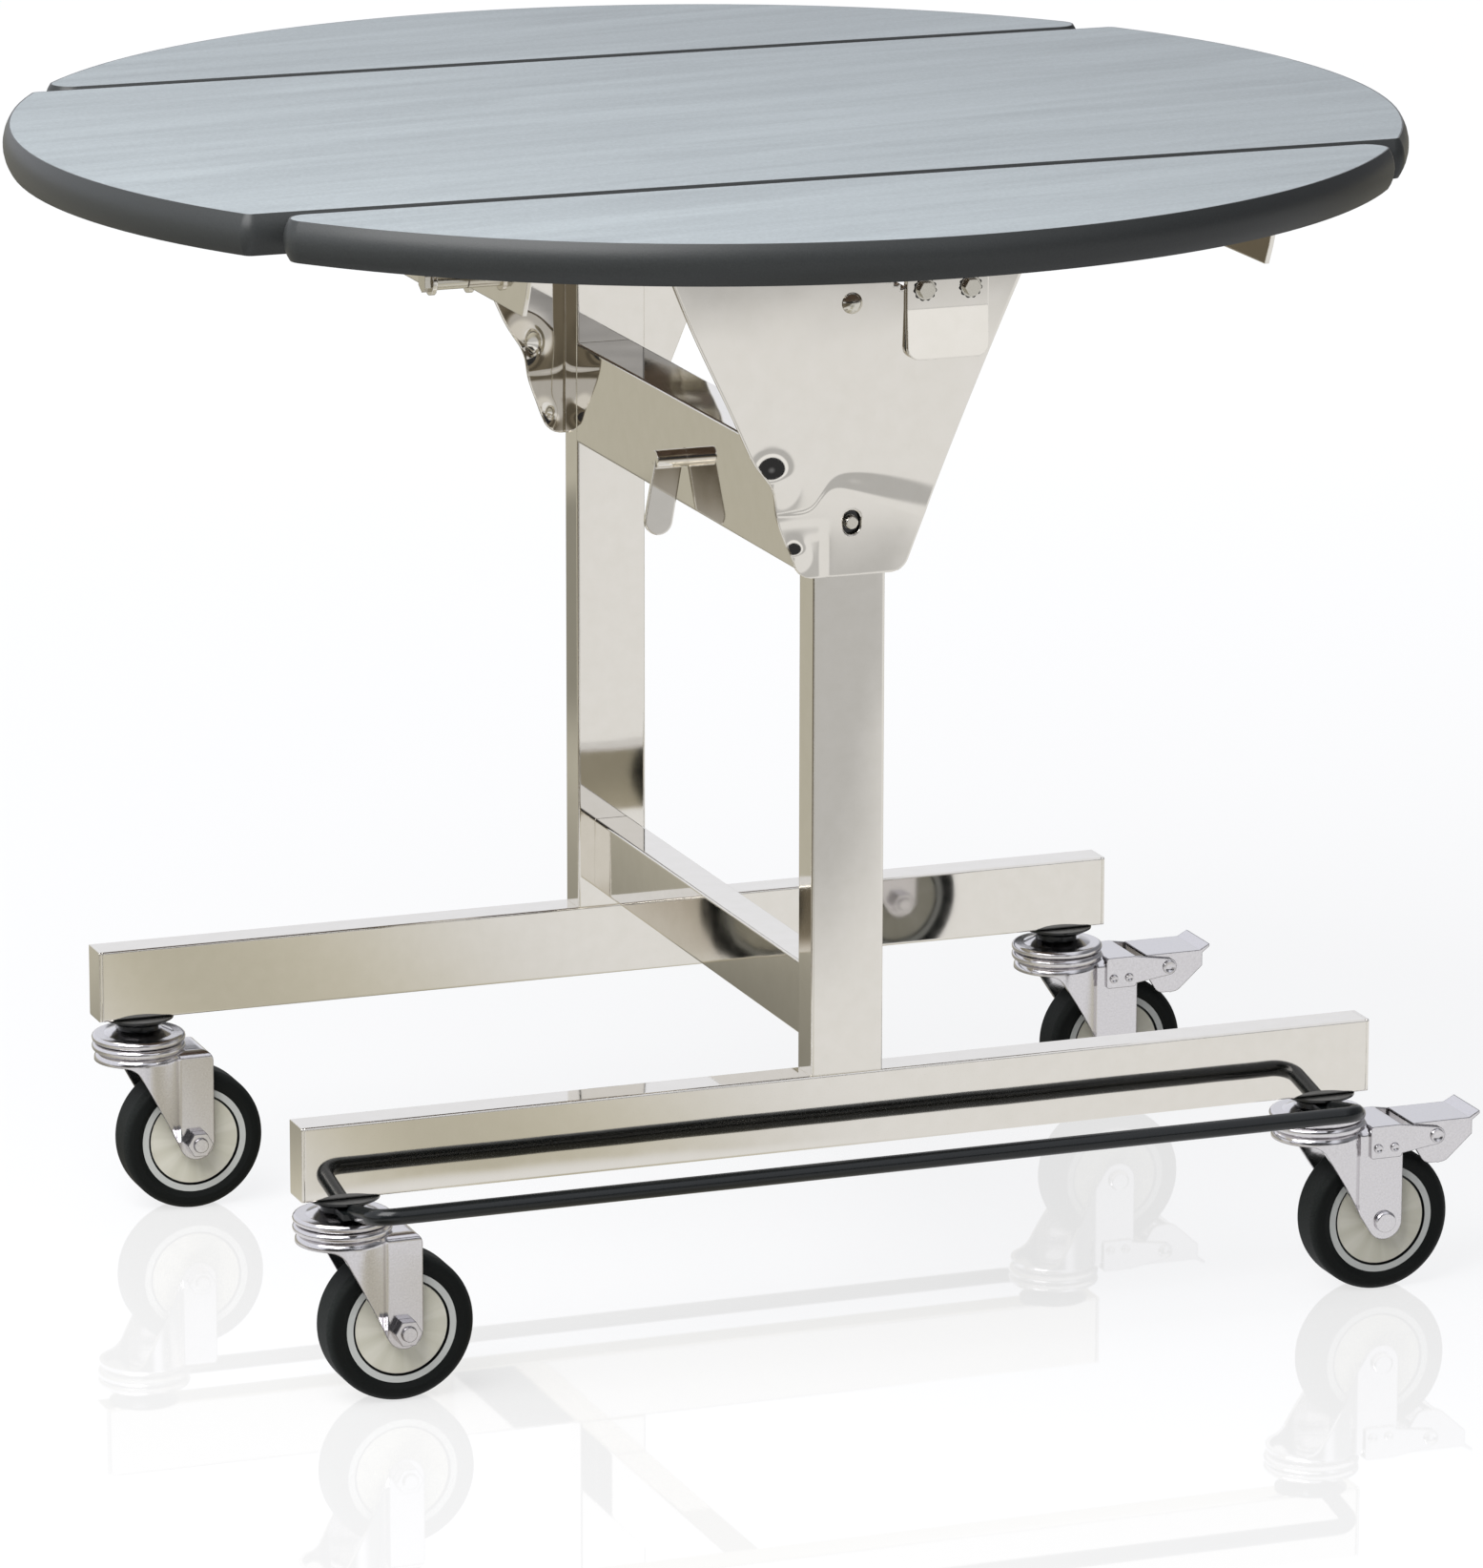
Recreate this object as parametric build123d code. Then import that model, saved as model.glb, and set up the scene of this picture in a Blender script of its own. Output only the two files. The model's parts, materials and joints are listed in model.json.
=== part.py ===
from build123d import *
import os
from math import cos, radians, sin, sqrt

os.makedirs("parts", exist_ok=True)

# Room service trolley: a round top with two drop leaves on a tilting head,
# carried by a polished tube base on four swivel castors.
# Millimetres, +Z up, origin on the floor under the centre of the round top.
# X runs along the base rails, the brakes are at +X, "near" is -Y and "far" is +Y.

# Round top
top_diameter = 930.0
top_height = 786.5
board_thickness = 26.5
laminate_thickness = 1.2
edge_band_width = 5.0
edge_bulge = 4.0
hinge_line = 246.0
leaf_gap = 3.0
centre_corner_radius = 10.0
leaf_corner_radius = 18.0

# Base of polished rectangular tube
base_shift = 10.0
base_width = 480.0
rail_length = 750.0
rail_width = 25.0
rail_height = 50.0
post_width = 50.0
post_depth = 25.0
crossbar_width = 25.0
crossbar_height = 50.0
crossbar_rise = 13.0
beam_width = 40.0
beam_height = 70.0
beam_top_above_pin = 33.0
tube_wall = 2.0
tube_corner = 1.5
cap_thickness = 2.0

# Fits shared by the pieces
running_fit = 0.05
bolt_clearance = 0.1
body_gap = 0.5
pin_tip_gap = 0.3
bolt_end_length = 2.0

# Tilting head: gusset plates, pivot bolts and leaf catch plates
pivot_drop = 56.5
post_top_above_pivot = 21.5
pivot_bolt_radius = 5.0
pivot_head_radius = 7.0
pivot_head_height = 4.0
pivot_nut_width = 17.0
pivot_nut_height = 6.0
gusset_sheet = 2.5
gusset_drop = 235.0
gusset_top_half_width = 138.0
gusset_foot_half_width = 36.0
gusset_edge_sag = 2.5
gusset_foot_radius = 8.0
gusset_flange_width = 28.0
dish_radius = 66.0
dish_flat_radius = 48.0
dish_depth = 0.9
dish_drop = 32.0
dish_shift = 9.5
catch_sheet = 3.0
catch_width = 56.5
catch_height = 66.0
catch_offset = 64.75
catch_drop = 30.0
catch_bend_height = 33.0
catch_splay = 2.5
catch_corner_radius = 8.0
catch_bolt_spacing = 31.5
catch_bolt_drop = 20.0
catch_bolt_radius = 3.0
catch_head_width = 10.0
catch_head_height = 4.0
catch_washer_radius = 7.0
catch_washer_sheet = 1.0
notch_width = 20.0
notch_depth = 48.0
notch_slope = 11.0

# Lock pins and their release lever in the upper beam
lock_drop = 143.5
lock_pin_radius = 4.5
lock_pin_start = 30.0
lock_slot_width = 12.5
lock_slot_height = 16.0
lock_collar_radius = 7.5
lock_collar_width = 4.0
lock_collar_place = 172.0
lock_guide_place = 100.0
lock_guide_sheet = 3.0
spring_radius = 7.5
spring_wall = 1.6
spring_length = 54.0
lever_below_pin = 4.0
lever_shaft_radius = 6.0
lever_reach = 21.0
lever_tongue_sheet = 3.0
lever_tongue_width = 19.5
lever_tongue_drop = 42.0
lever_tongue_lean = 7.5
lever_tongue_gap = 1.5
crank_radius = 13.0
crank_width = 8.0
crank_sheet = 4.0

# Leaf hinges
hinge_drop = 22.0
hinge_place = 263.0
hinge_web_spacing = 25.0
hinge_sheet = 3.0
hinge_flange_width = 27.0
hinge_web_depth = 27.0
hinge_lug_radius = 9.5
hinge_bolt_radius = 4.0
hinge_head_width = 13.0
hinge_head_height = 4.5
hinge_spacer_radius = 6.5
bracket_length = 96.0
bracket_flange_length = 66.0
arm_length = 119.0
arm_flange_start = 16.0
arm_bevel = 12.0

# Castors, from the floor up
wheel_diameter = 100.0
wheel_width = 32.0
rim_radius = 37.3
rim_groove_radius = 32.7
disc_radius = 31.5
disc_recess = 3.0
rim_step = 1.0
groove_depth = 3.0
hub_radius = 10.0
tyre_wall = 4.0
tyre_shoulder_radius = 7.0
plain_trail = 35.0
braked_trail = 41.5
castor_inset = 31.0
crown_clearance = 12.5
fork_sheet = 3.0
fork_side_gap = 2.0
fork_boss_radius = 12.5
fork_front = 14.0
fork_bend_radius = 5.5
fork_rear_radius = 8.0
fork_valley_radius = 4.0
fork_throat_radius = 12.0
fork_lip = 3.5
head_radius = 32.5
head_rim = 3.0
lower_race_height = 6.0
upper_race_height = 5.5
upper_race_crown = 3.5
upper_race_step = 24.0
upper_race_top = 16.0
race_gap = 0.5
axle_radius = 5.0
axle_head_radius = 7.4
axle_head_height = 3.5
axle_nut_width = 16.0
axle_nut_height = 8.5
axle_end_length = 2.0
stem_radius = 6.0
stem_rise = 12.0
stem_foot_radius = 10.0
stem_foot_height = 3.5
cone_height = 5.0
cone_top_radius = 24.5
cone_foot_radius = 18.0
cone_lip_height = 1.5

# Bumper rods, with flattened ends clamped on the castor stems
rod_diameter = 11.0
rod_offset = 72.5
rod_rise = 11.0
rod_start_rise = 1.5
rod_bend_radius = 14.0
eye_thickness = 4.0
eye_radius = 14.0
eye_tongue_width = 18.0
eye_tongue_length = 30.0

# Castor brakes, placed from the axle
brake_plate_sheet = 2.0
brake_plate_front = 12.0
brake_plate_rear = 11.0
brake_plate_drop = 22.5
brake_pivot_reach = 36.5
brake_pivot_height = 57.0
brake_pivot_radius = 3.0
brake_pivot_head_radius = 4.5
brake_lug_radius = 6.0
brake_rivet_radius = 2.8
brake_rivet_spacing = 12.0
brake_rivet_drop = 15.5
rivet_head_height = 1.2
pedal_sheet = 2.0
pedal_front = 20.0
pedal_rear = 63.5
pedal_tip_reach = 5.5
pedal_tip_rise = 4.1
pedal_top_height = 66.5
pedal_lobe_height = 37.5
pedal_lobe_front = 29.0
pedal_lobe_rear = 44.0
pedal_tail_height = 55.0
pedal_corner_radius = 8.0
shoe_radius = 2.5
shoe_place_radius = 55.5
shoe_place_angle = 45.5

# Heights and places worked out from the sizes above
underside = top_height - board_thickness
pivot_height = underside - pivot_drop
lock_height = pivot_height - lock_drop
post_top = pivot_height + post_top_above_pivot
hinge_height = underside - hinge_drop
catch_bolt_height = underside - catch_drop - catch_bolt_drop
axle_height = wheel_diameter / 2
crown_under = wheel_diameter + crown_clearance
crown_top = crown_under + fork_sheet
lip_under = crown_under - fork_lip
lower_race_top = crown_top + lower_race_height
upper_race_under = lower_race_top + race_gap
eye_under = upper_race_under + upper_race_height + upper_race_crown
eye_top = eye_under + eye_thickness
rail_under = eye_top + cone_height
rail_top = rail_under + rail_height
crossbar_under = rail_top + crossbar_rise
beam_top = lock_height + beam_top_above_pin
lever_height = lock_height - lever_below_pin
rail_outer = base_width / 2
rail_middle = rail_outer - rail_width / 2
post_inner = rail_outer - post_depth
post_left = base_shift - post_width / 2
gusset_inner = rail_outer + body_gap
gusset_outer = gusset_inner + gusset_sheet
leg_inner = wheel_width / 2 + fork_side_gap
leg_outer = leg_inner + fork_sheet
stem_reach = rail_length / 2 - castor_inset
castor_places = {
    "near_left": (base_shift - stem_reach, -rail_middle),
    "near_right": (base_shift + stem_reach, -rail_middle),
    "far_left": (base_shift - stem_reach, rail_middle),
    "far_right": (base_shift + stem_reach, rail_middle),
}


def save(node, *solids):
    """Write one node, as one solid or as a group of separate solids."""
    shape = solids[0] if len(solids) == 1 else Compound(children=list(solids))
    export_step(shape, f"parts/{node}.step")


def block(x, y, z):
    """Box between two limits on each axis."""
    size = (x[1] - x[0], y[1] - y[0], z[1] - z[0])
    return Pos((x[0] + x[1]) / 2, (y[0] + y[1]) / 2, (z[0] + z[1]) / 2) * Box(*size)


def bar_x(radius, x, y, z):
    """Round bar along X between two limits."""
    return Pos((x[0] + x[1]) / 2, y, z) * Rot(0, 90, 0) * Cylinder(radius, x[1] - x[0])


def bar_y(radius, x, y, z):
    """Round bar along Y between two limits."""
    return Pos(x, (y[0] + y[1]) / 2, z) * Rot(90, 0, 0) * Cylinder(radius, y[1] - y[0])


def bar_z(radius, x, y, z):
    """Round bar along Z between two limits."""
    return Pos(x, y, (z[0] + z[1]) / 2) * Cylinder(radius, z[1] - z[0])


def hexagon(width, height):
    """Hexagon bar along Z from the XY plane, by its width across flats."""
    return extrude(RegularPolygon(width / 2, 6, major_radius=False), height)


def tube(axis, x, y, z):
    """Rectangular tube, open at both ends, with slightly rounded long edges."""
    body = block(x, y, z)
    body = fillet(body.edges().filter_by(axis), tube_corner)
    wall = {Axis.X: (0, tube_wall, tube_wall), Axis.Y: (tube_wall, 0, tube_wall)}
    inset = wall.get(axis, (tube_wall, tube_wall, 0))
    limits = [(low + gap, high - gap) for (low, high), gap in zip((x, y, z), inset)]
    return body - block(*limits)


def mirrored(solid):
    """The near side's copy of a far side piece."""
    return mirror(solid, about=Plane.XZ)


def turned(profile, x, y):
    """Turn a profile drawn as radius and height about a vertical axis."""
    return Pos(x, y, 0) * revolve(Plane.XZ * profile, Axis.Z)


# Base frame
def rail():
    """Far base rail, drilled underneath for the castor stems."""
    half = rail_length / 2 - cap_thickness
    body = tube(
        Axis.X,
        (base_shift - half, base_shift + half),
        (rail_outer - rail_width, rail_outer),
        (rail_under, rail_top),
    )
    for side in (-1, 1):
        hole_x = base_shift + side * stem_reach
        limits = (rail_under - tube_wall, rail_under + 2 * tube_wall)
        body -= bar_z(stem_radius + bolt_clearance, hole_x, rail_middle, limits)
    return body


def rail_caps():
    """Plates that close the far rail's ends, with the tube's outline."""
    caps = []
    for side in (-1, 1):
        outer = base_shift + side * rail_length / 2
        limits = sorted((outer, outer - side * cap_thickness))
        plate = block(limits, (rail_outer - rail_width, rail_outer), (rail_under, rail_top))
        caps.append(fillet(plate.edges().filter_by(Axis.X), tube_corner))
    return caps


def post():
    """Far post, drilled across for the tilt pivot bolt and the lock pin."""
    x = (post_left, post_left + post_width)
    y = (post_inner, rail_outer)
    body = tube(Axis.Z, x, y, (rail_top, post_top - cap_thickness))
    for radius, height in (
        (pivot_bolt_radius + bolt_clearance, pivot_height),
        (lock_pin_radius + running_fit, lock_height),
    ):
        body -= bar_y(radius, base_shift, (post_inner - tube_wall, rail_outer + tube_wall), height)
    return body


def post_cap():
    """Plate that closes the far post's top."""
    x = (post_left, post_left + post_width)
    plate = block(x, (post_inner, rail_outer), (post_top - cap_thickness, post_top))
    return fillet(plate.edges().filter_by(Axis.Z), tube_corner)


def upper_beam():
    """Wide tube between the posts, with the release lever's hole in its -X wall."""
    x = (post_left, post_left + beam_width)
    body = tube(Axis.Y, x, (-post_inner, post_inner), (beam_top - beam_height, beam_top))
    limits = (post_left - tube_wall, post_left + 2 * tube_wall)
    return body - bar_x(lever_shaft_radius + running_fit, limits, 0, lever_height)


def lower_crossbar():
    """Tube between the posts, just above the rails."""
    x = (base_shift - crossbar_width / 2, base_shift + crossbar_width / 2)
    z = (crossbar_under, crossbar_under + crossbar_height)
    return tube(Axis.Y, x, (-post_inner, post_inner), z)


far_rail = rail()
save("far_base_rail", far_rail)
save("near_base_rail", mirrored(far_rail))
far_caps = rail_caps() + [post_cap()]
save("tube_end_caps", *far_caps, *[mirrored(cap) for cap in far_caps])
far_post = post()
save("far_post", far_post)
save("near_post", mirrored(far_post))
save("upper_beam", upper_beam())
save("lower_crossbar", lower_crossbar())


# Bumper rods
def bumper_rod():
    """Far bumper rod: a bent round bar whose flattened ends are eyes on the stems."""
    left = base_shift - stem_reach
    right = base_shift + stem_reach
    eye_middle = (eye_under + eye_top) / 2
    leg_start = rail_middle + eye_tongue_length - eye_thickness
    outer = rail_middle + rod_offset
    points = [
        (left, leg_start, eye_middle + rod_start_rise),
        (left, outer, eye_middle + rod_rise),
        (right, outer, eye_middle + rod_rise),
        (right, leg_start, eye_middle + rod_start_rise),
    ]
    path = FilletPolyline(*points, radius=rod_bend_radius)
    section = Plane(origin=path @ 0, z_dir=path % 0) * Circle(rod_diameter / 2)
    body = sweep(section, path)
    for x in (left, right):
        half = eye_tongue_width / 2
        tongue = (rail_middle, rail_middle + eye_tongue_length)
        body += block((x - half, x + half), tongue, (eye_under, eye_top))
        body += bar_z(eye_radius, x, rail_middle, (eye_under, eye_top))
        body -= bar_z(stem_radius + bolt_clearance, x, rail_middle, (eye_under, eye_top))
    return body


far_rod = bumper_rod()
save("far_bumper_rod", far_rod)
save("near_bumper_rod", mirrored(far_rod))


# Round top
def edge_section():
    """Section of the moulded edge: flat against the board, bulged outside, as radius and height."""
    lip = edge_band_width - edge_bulge
    lines = [
        Line((0, 0), (0, board_thickness)),
        Line((0, board_thickness), (lip, board_thickness)),
        ThreePointArc((lip, board_thickness), (edge_band_width, board_thickness / 2), (lip, 0)),
        Line((lip, 0), (0, 0)),
    ]
    return make_face(lines)


def board(y_low, y_high, corner_radius):
    """Core, laminate and moulded edge of the part of the disc between two lines along X."""
    strip = Pos(0, (y_low + y_high) / 2) * Rectangle(2 * top_diameter, y_high - y_low)
    outline = Circle(top_diameter / 2) & strip
    # The circle's own seam lies at Y = 0 and is no corner
    corners = outline.vertices().filter_by(lambda v: abs(v.Y) > leaf_gap)
    field = offset(fillet(corners, corner_radius), -edge_band_width)
    core = Pos(0, 0, underside) * extrude(field, board_thickness - laminate_thickness)
    laminate = Pos(0, 0, top_height - laminate_thickness) * extrude(field, laminate_thickness)
    path = (Pos(0, 0, underside) * field).face().outer_wire()
    outward = (path % 0).cross(Vector(0, 0, 1))
    place = Plane(origin=path @ 0, x_dir=outward, z_dir=outward.cross(Vector(0, 0, 1)))
    return {"core": core, "laminate": laminate, "edge": sweep(place * edge_section(), path)}


centre_edge_line = hinge_line - leaf_gap / 2
leaf_edge_line = hinge_line + leaf_gap / 2
for piece, solid in board(-centre_edge_line, centre_edge_line, centre_corner_radius).items():
    save(f"centre_board_{piece}", solid)
for piece, solid in board(leaf_edge_line, top_diameter, leaf_corner_radius).items():
    save(f"far_leaf_{piece}", solid)
    save(f"near_leaf_{piece}", mirrored(solid))


# Leaf hinges
def hinge_web(reach, end_bevel, x):
    """Upright plate from the hinge axis along +Y, as high as the boards' underside."""
    low = underside - hinge_web_depth
    lug = Pos(0, hinge_height) * Circle(hinge_lug_radius)
    outline = Polygon(
        (0, underside),
        (0, low),
        (reach - end_bevel, low),
        (reach - end_bevel / 2, low + end_bevel),
        (reach, underside),
        align=None,
    )
    web = extrude(Plane.YZ * (outline + lug), hinge_sheet)
    return Pos(x, 0, 0) * web


def hinge_hole(radius, x):
    """Cutter for a hinge bolt's hole through a web that starts at x."""
    return bar_x(radius, (x - hinge_sheet, x + 2 * hinge_sheet), 0, hinge_height)


def leaf_arm():
    """Angle on the leaf's underside that turns on the hinge bolt, for +X, seen from the axis."""
    x = hinge_place - hinge_web_spacing / 2 - hinge_sheet / 2
    body = hinge_web(arm_length, arm_bevel, x)
    inner = block(
        (x - hinge_sheet, x + 2 * hinge_sheet),
        (-hinge_lug_radius, arm_flange_start),
        (hinge_height + hinge_lug_radius, underside),
    )
    body -= inner
    z = (underside - hinge_sheet, underside)
    body += block((x, x + hinge_flange_width), (arm_flange_start, arm_length - arm_bevel), z)
    return body - hinge_hole(hinge_bolt_radius + running_fit, x)


def board_bracket():
    """Angle on the centre board's underside that carries the hinge bolt, for +X."""
    x = hinge_place + hinge_web_spacing / 2 - hinge_sheet / 2
    body = mirror(hinge_web(bracket_length, arm_bevel, x), about=Plane.XZ)
    inner = block(
        (x - hinge_sheet, x + 2 * hinge_sheet),
        (-arm_flange_start, hinge_lug_radius),
        (hinge_height + hinge_lug_radius, underside),
    )
    body -= inner
    flange_y = (arm_bevel - bracket_length, arm_bevel - bracket_length + bracket_flange_length)
    z = (underside - hinge_sheet, underside)
    body += block((x + hinge_sheet - hinge_flange_width, x + hinge_sheet), flange_y, z)
    return body - hinge_hole(hinge_bolt_radius + bolt_clearance, x)


def hinge_bolt():
    """Bolt, spacer and nut of one leaf hinge, for +X, as separate solids."""
    outer = hinge_place + hinge_web_spacing / 2 + hinge_sheet / 2
    inner = hinge_place - hinge_web_spacing / 2 - hinge_sheet / 2
    nut_face = inner - pin_tip_gap
    head = Rot(0, 90, 0) * hexagon(hinge_head_width, hinge_head_height)
    shank = (nut_face - hinge_head_height - bolt_end_length, outer)
    bolt = bar_x(hinge_bolt_radius, shank, 0, hinge_height)
    bolt += Pos(outer, 0, hinge_height) * head
    nut = Pos(nut_face - hinge_head_height, 0, hinge_height) * head
    nut -= bar_x(hinge_bolt_radius + bolt_clearance, shank, 0, hinge_height)
    span = (inner + hinge_sheet + pin_tip_gap, outer - hinge_sheet)
    spacer = bar_x(hinge_spacer_radius, span, 0, hinge_height)
    spacer -= bar_x(hinge_bolt_radius + bolt_clearance, span, 0, hinge_height)
    return [bolt, nut, spacer]


def all_four(solids):
    """Copies of the far +X hinge's solids at the four hinges."""
    far = [Pos(0, hinge_line, 0) * solid for solid in solids]
    far += [mirror(solid, about=Plane.YZ) for solid in far]
    return far + [mirrored(solid) for solid in far]


arms = all_four([leaf_arm()])
save("far_leaf_arms", *arms[:2])
save("near_leaf_arms", *arms[2:])
save("leaf_hinge_brackets", *all_four([board_bracket()]))
save("leaf_hinge_bolts", *all_four(hinge_bolt()))


# Tilting head
def gusset_outline():
    """Tapered plate outline with hollow sides, rounded foot and a notch beside the catch plate."""
    foot = underside - gusset_drop
    middle_half = (gusset_top_half_width + gusset_foot_half_width) / 2 - gusset_edge_sag
    middle = underside - gusset_drop / 2
    top_right = (gusset_top_half_width, underside)
    foot_right = (gusset_foot_half_width, foot)
    foot_left = (-gusset_foot_half_width, foot)
    top_left = (-gusset_top_half_width, underside)
    edges = [
        Line(top_left, top_right),
        ThreePointArc(top_right, (middle_half, middle), foot_right),
        Line(foot_right, foot_left),
        ThreePointArc(foot_left, (-middle_half, middle), top_left),
    ]
    outline = make_face(edges)
    outline = fillet(outline.vertices().group_by(Axis.Y)[0], gusset_foot_radius)
    notch_right = catch_offset - catch_width / 2
    notch = Polygon(
        (notch_right, underside),
        (notch_right - notch_width, underside),
        (notch_right - notch_width, underside - notch_depth + notch_slope),
        (notch_right, underside - notch_depth),
        align=None,
    )
    return outline - notch


def gusset_prism(y_low, y_high):
    """The gusset outline carried from one Y to another."""
    outline = Plane.XZ.offset(-y_low) * gusset_outline()
    return Pos(base_shift, 0, 0) * extrude(outline, y_low - y_high)


def gusset_dish():
    """Pressing whose rim arches over the lock pin and that stands proud of the flat plate."""
    rise = dish_depth
    half = (dish_flat_radius + dish_radius) / 2
    lines = []
    for low in (0, gusset_sheet):
        first = TangentArc((dish_flat_radius, low + rise), (half, low + rise / 2), tangent=(1, 0))
        second = TangentArc((half, low + rise / 2), (dish_radius, low), tangent=first % 1)
        flat = Line((0, low + rise), (dish_flat_radius, low + rise))
        lines += [flat, first, second]
    lines.append(Line((0, rise), (0, gusset_sheet + rise)))
    lines.append(Line((dish_radius, 0), (dish_radius, gusset_sheet)))
    dish = revolve(make_face(lines), Axis.Y)
    return Pos(base_shift + dish_shift, gusset_inner, lock_height - dish_drop) * dish


def gusset_plate():
    """Far gusset: a flat plate dished at the lock pin, with a flange under the board."""
    reach = gusset_inner + gusset_sheet + dish_depth
    bore_x = base_shift + dish_shift
    bore = bar_y(dish_radius, bore_x, (gusset_inner, reach), lock_height - dish_drop)
    body = gusset_prism(gusset_inner, gusset_outer) - bore
    body += gusset_dish() & gusset_prism(gusset_inner, reach)
    flange = gusset_prism(gusset_outer - gusset_flange_width, gusset_outer)
    body += flange & block(
        (base_shift - gusset_top_half_width, base_shift + gusset_top_half_width),
        (gusset_outer - gusset_flange_width, gusset_outer),
        (underside - gusset_sheet, underside),
    )
    through = (gusset_inner - gusset_sheet, reach + gusset_sheet)
    body -= bar_y(pivot_bolt_radius + running_fit, base_shift, through, pivot_height)
    slot = Rot(0, 0, 90) * SlotOverall(lock_slot_height, lock_slot_width)
    slot = extrude(Plane.XZ.offset(-through[0]) * slot, through[0] - through[1])
    body -= Pos(base_shift, 0, lock_height) * slot
    for bolt_x in catch_bolt_places():
        body -= bar_y(catch_bolt_radius + bolt_clearance, bolt_x, through, catch_bolt_height)
    return body


def catch_bolt_places():
    """X of the two bolts that hold a catch plate on its gusset."""
    middle = base_shift + catch_offset
    return (middle - catch_bolt_spacing / 2, middle + catch_bolt_spacing / 2)


def catch_plate():
    """Far leaf catch plate: a short strip bolted on the gusset, its lower half splayed out."""
    top = underside - catch_drop
    bend = top - catch_bend_height
    foot = top - catch_height
    section = Polygon(
        (gusset_outer, top),
        (gusset_outer, bend),
        (gusset_outer + catch_splay, foot),
        (gusset_outer + catch_splay + catch_sheet, foot),
        (gusset_outer + catch_sheet, bend),
        (gusset_outer + catch_sheet, top),
        align=None,
    )
    middle = base_shift + catch_offset
    body = Pos(middle - catch_width / 2, 0, 0) * extrude(Plane.YZ * section, catch_width)
    outline = Pos(middle, (top + foot) / 2) * Rectangle(catch_width, catch_height)
    outline = fillet(outline.vertices().group_by(Axis.Y)[0], catch_corner_radius)
    body &= extrude(Plane.XZ.offset(-gusset_outer) * outline, -(catch_splay + catch_sheet))
    for bolt_x in catch_bolt_places():
        limits = (gusset_inner, gusset_outer + 2 * catch_sheet)
        body -= bar_y(catch_bolt_radius + bolt_clearance, bolt_x, limits, catch_bolt_height)
    return body


def catch_bolts():
    """Two bolts on the far catch plate, each with its washer, as separate solids."""
    face = gusset_outer + catch_sheet
    solids = []
    for bolt_x in catch_bolt_places():
        head_face = face + catch_washer_sheet
        washer = bar_y(catch_washer_radius, bolt_x, (face, head_face), catch_bolt_height)
        bolt = bar_y(catch_bolt_radius, bolt_x, (gusset_inner, head_face), catch_bolt_height)
        head = Rot(-90, 0, 0) * hexagon(catch_head_width, catch_head_height)
        bolt += Pos(bolt_x, head_face, catch_bolt_height) * head
        washer -= bar_y(catch_bolt_radius + bolt_clearance, bolt_x, (face, head_face), catch_bolt_height)
        solids += [bolt, washer]
    return solids


def pivot_bolt():
    """Far tilt pivot: a dome-headed bolt through gusset and post, with its nut."""
    head_face = gusset_outer + pin_tip_gap
    nut_face = post_inner - pivot_nut_height
    bolt = bar_y(pivot_bolt_radius, base_shift, (nut_face - bolt_end_length, head_face), pivot_height)
    dome_radius = (pivot_head_radius**2 + pivot_head_height**2) / (2 * pivot_head_height)
    dome_middle = head_face + pivot_head_height - dome_radius
    dome = Pos(base_shift, dome_middle, pivot_height) * Sphere(dome_radius)
    head = (head_face, head_face + dome_radius)
    bolt += dome & bar_y(pivot_head_radius, base_shift, head, pivot_height)
    nut = Rot(-90, 0, 0) * hexagon(pivot_nut_width, pivot_nut_height)
    nut = Pos(base_shift, nut_face, pivot_height) * nut
    nut -= bar_y(pivot_bolt_radius + bolt_clearance, base_shift, (nut_face, post_inner), pivot_height)
    return [bolt, nut]


far_gusset = gusset_plate()
save("far_gusset_plate", far_gusset)
save("near_gusset_plate", mirrored(far_gusset))
far_catch = catch_plate()
save("far_catch_plate", far_catch)
save("near_catch_plate", mirrored(far_catch))
far_catch_bolts = catch_bolts()
save("catch_plate_bolts", *far_catch_bolts, *[mirrored(solid) for solid in far_catch_bolts])
far_pivot = pivot_bolt()
save("tilt_pivot_bolts", *far_pivot, *[mirrored(solid) for solid in far_pivot])


# Lock pins and release lever
def lock_pin():
    """Far lock pin with the collar that its spring pushes outwards."""
    tip = gusset_inner - pin_tip_gap
    pin = bar_y(lock_pin_radius, base_shift, (lock_pin_start, tip), lock_height)
    collar = (lock_collar_place, lock_collar_place + lock_collar_width)
    return pin + bar_y(lock_collar_radius, base_shift, collar, lock_height)


def lock_guide():
    """Plate inside the upper beam that guides the far pin and backs its spring."""
    x = (post_left + tube_wall, post_left + beam_width - tube_wall)
    y = (lock_guide_place, lock_guide_place + lock_guide_sheet)
    plate = block(x, y, (beam_top - beam_height + tube_wall, beam_top - tube_wall))
    return plate - bar_y(lock_pin_radius + running_fit, base_shift, y, lock_height)


def lock_spring():
    """Sleeve as large as the far pin's pressed spring."""
    start = lock_guide_place + lock_guide_sheet
    y = (start, start + spring_length)
    sleeve = bar_y(spring_radius, base_shift, y, lock_height)
    return sleeve - bar_y(spring_radius - spring_wall, base_shift, y, lock_height)


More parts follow.
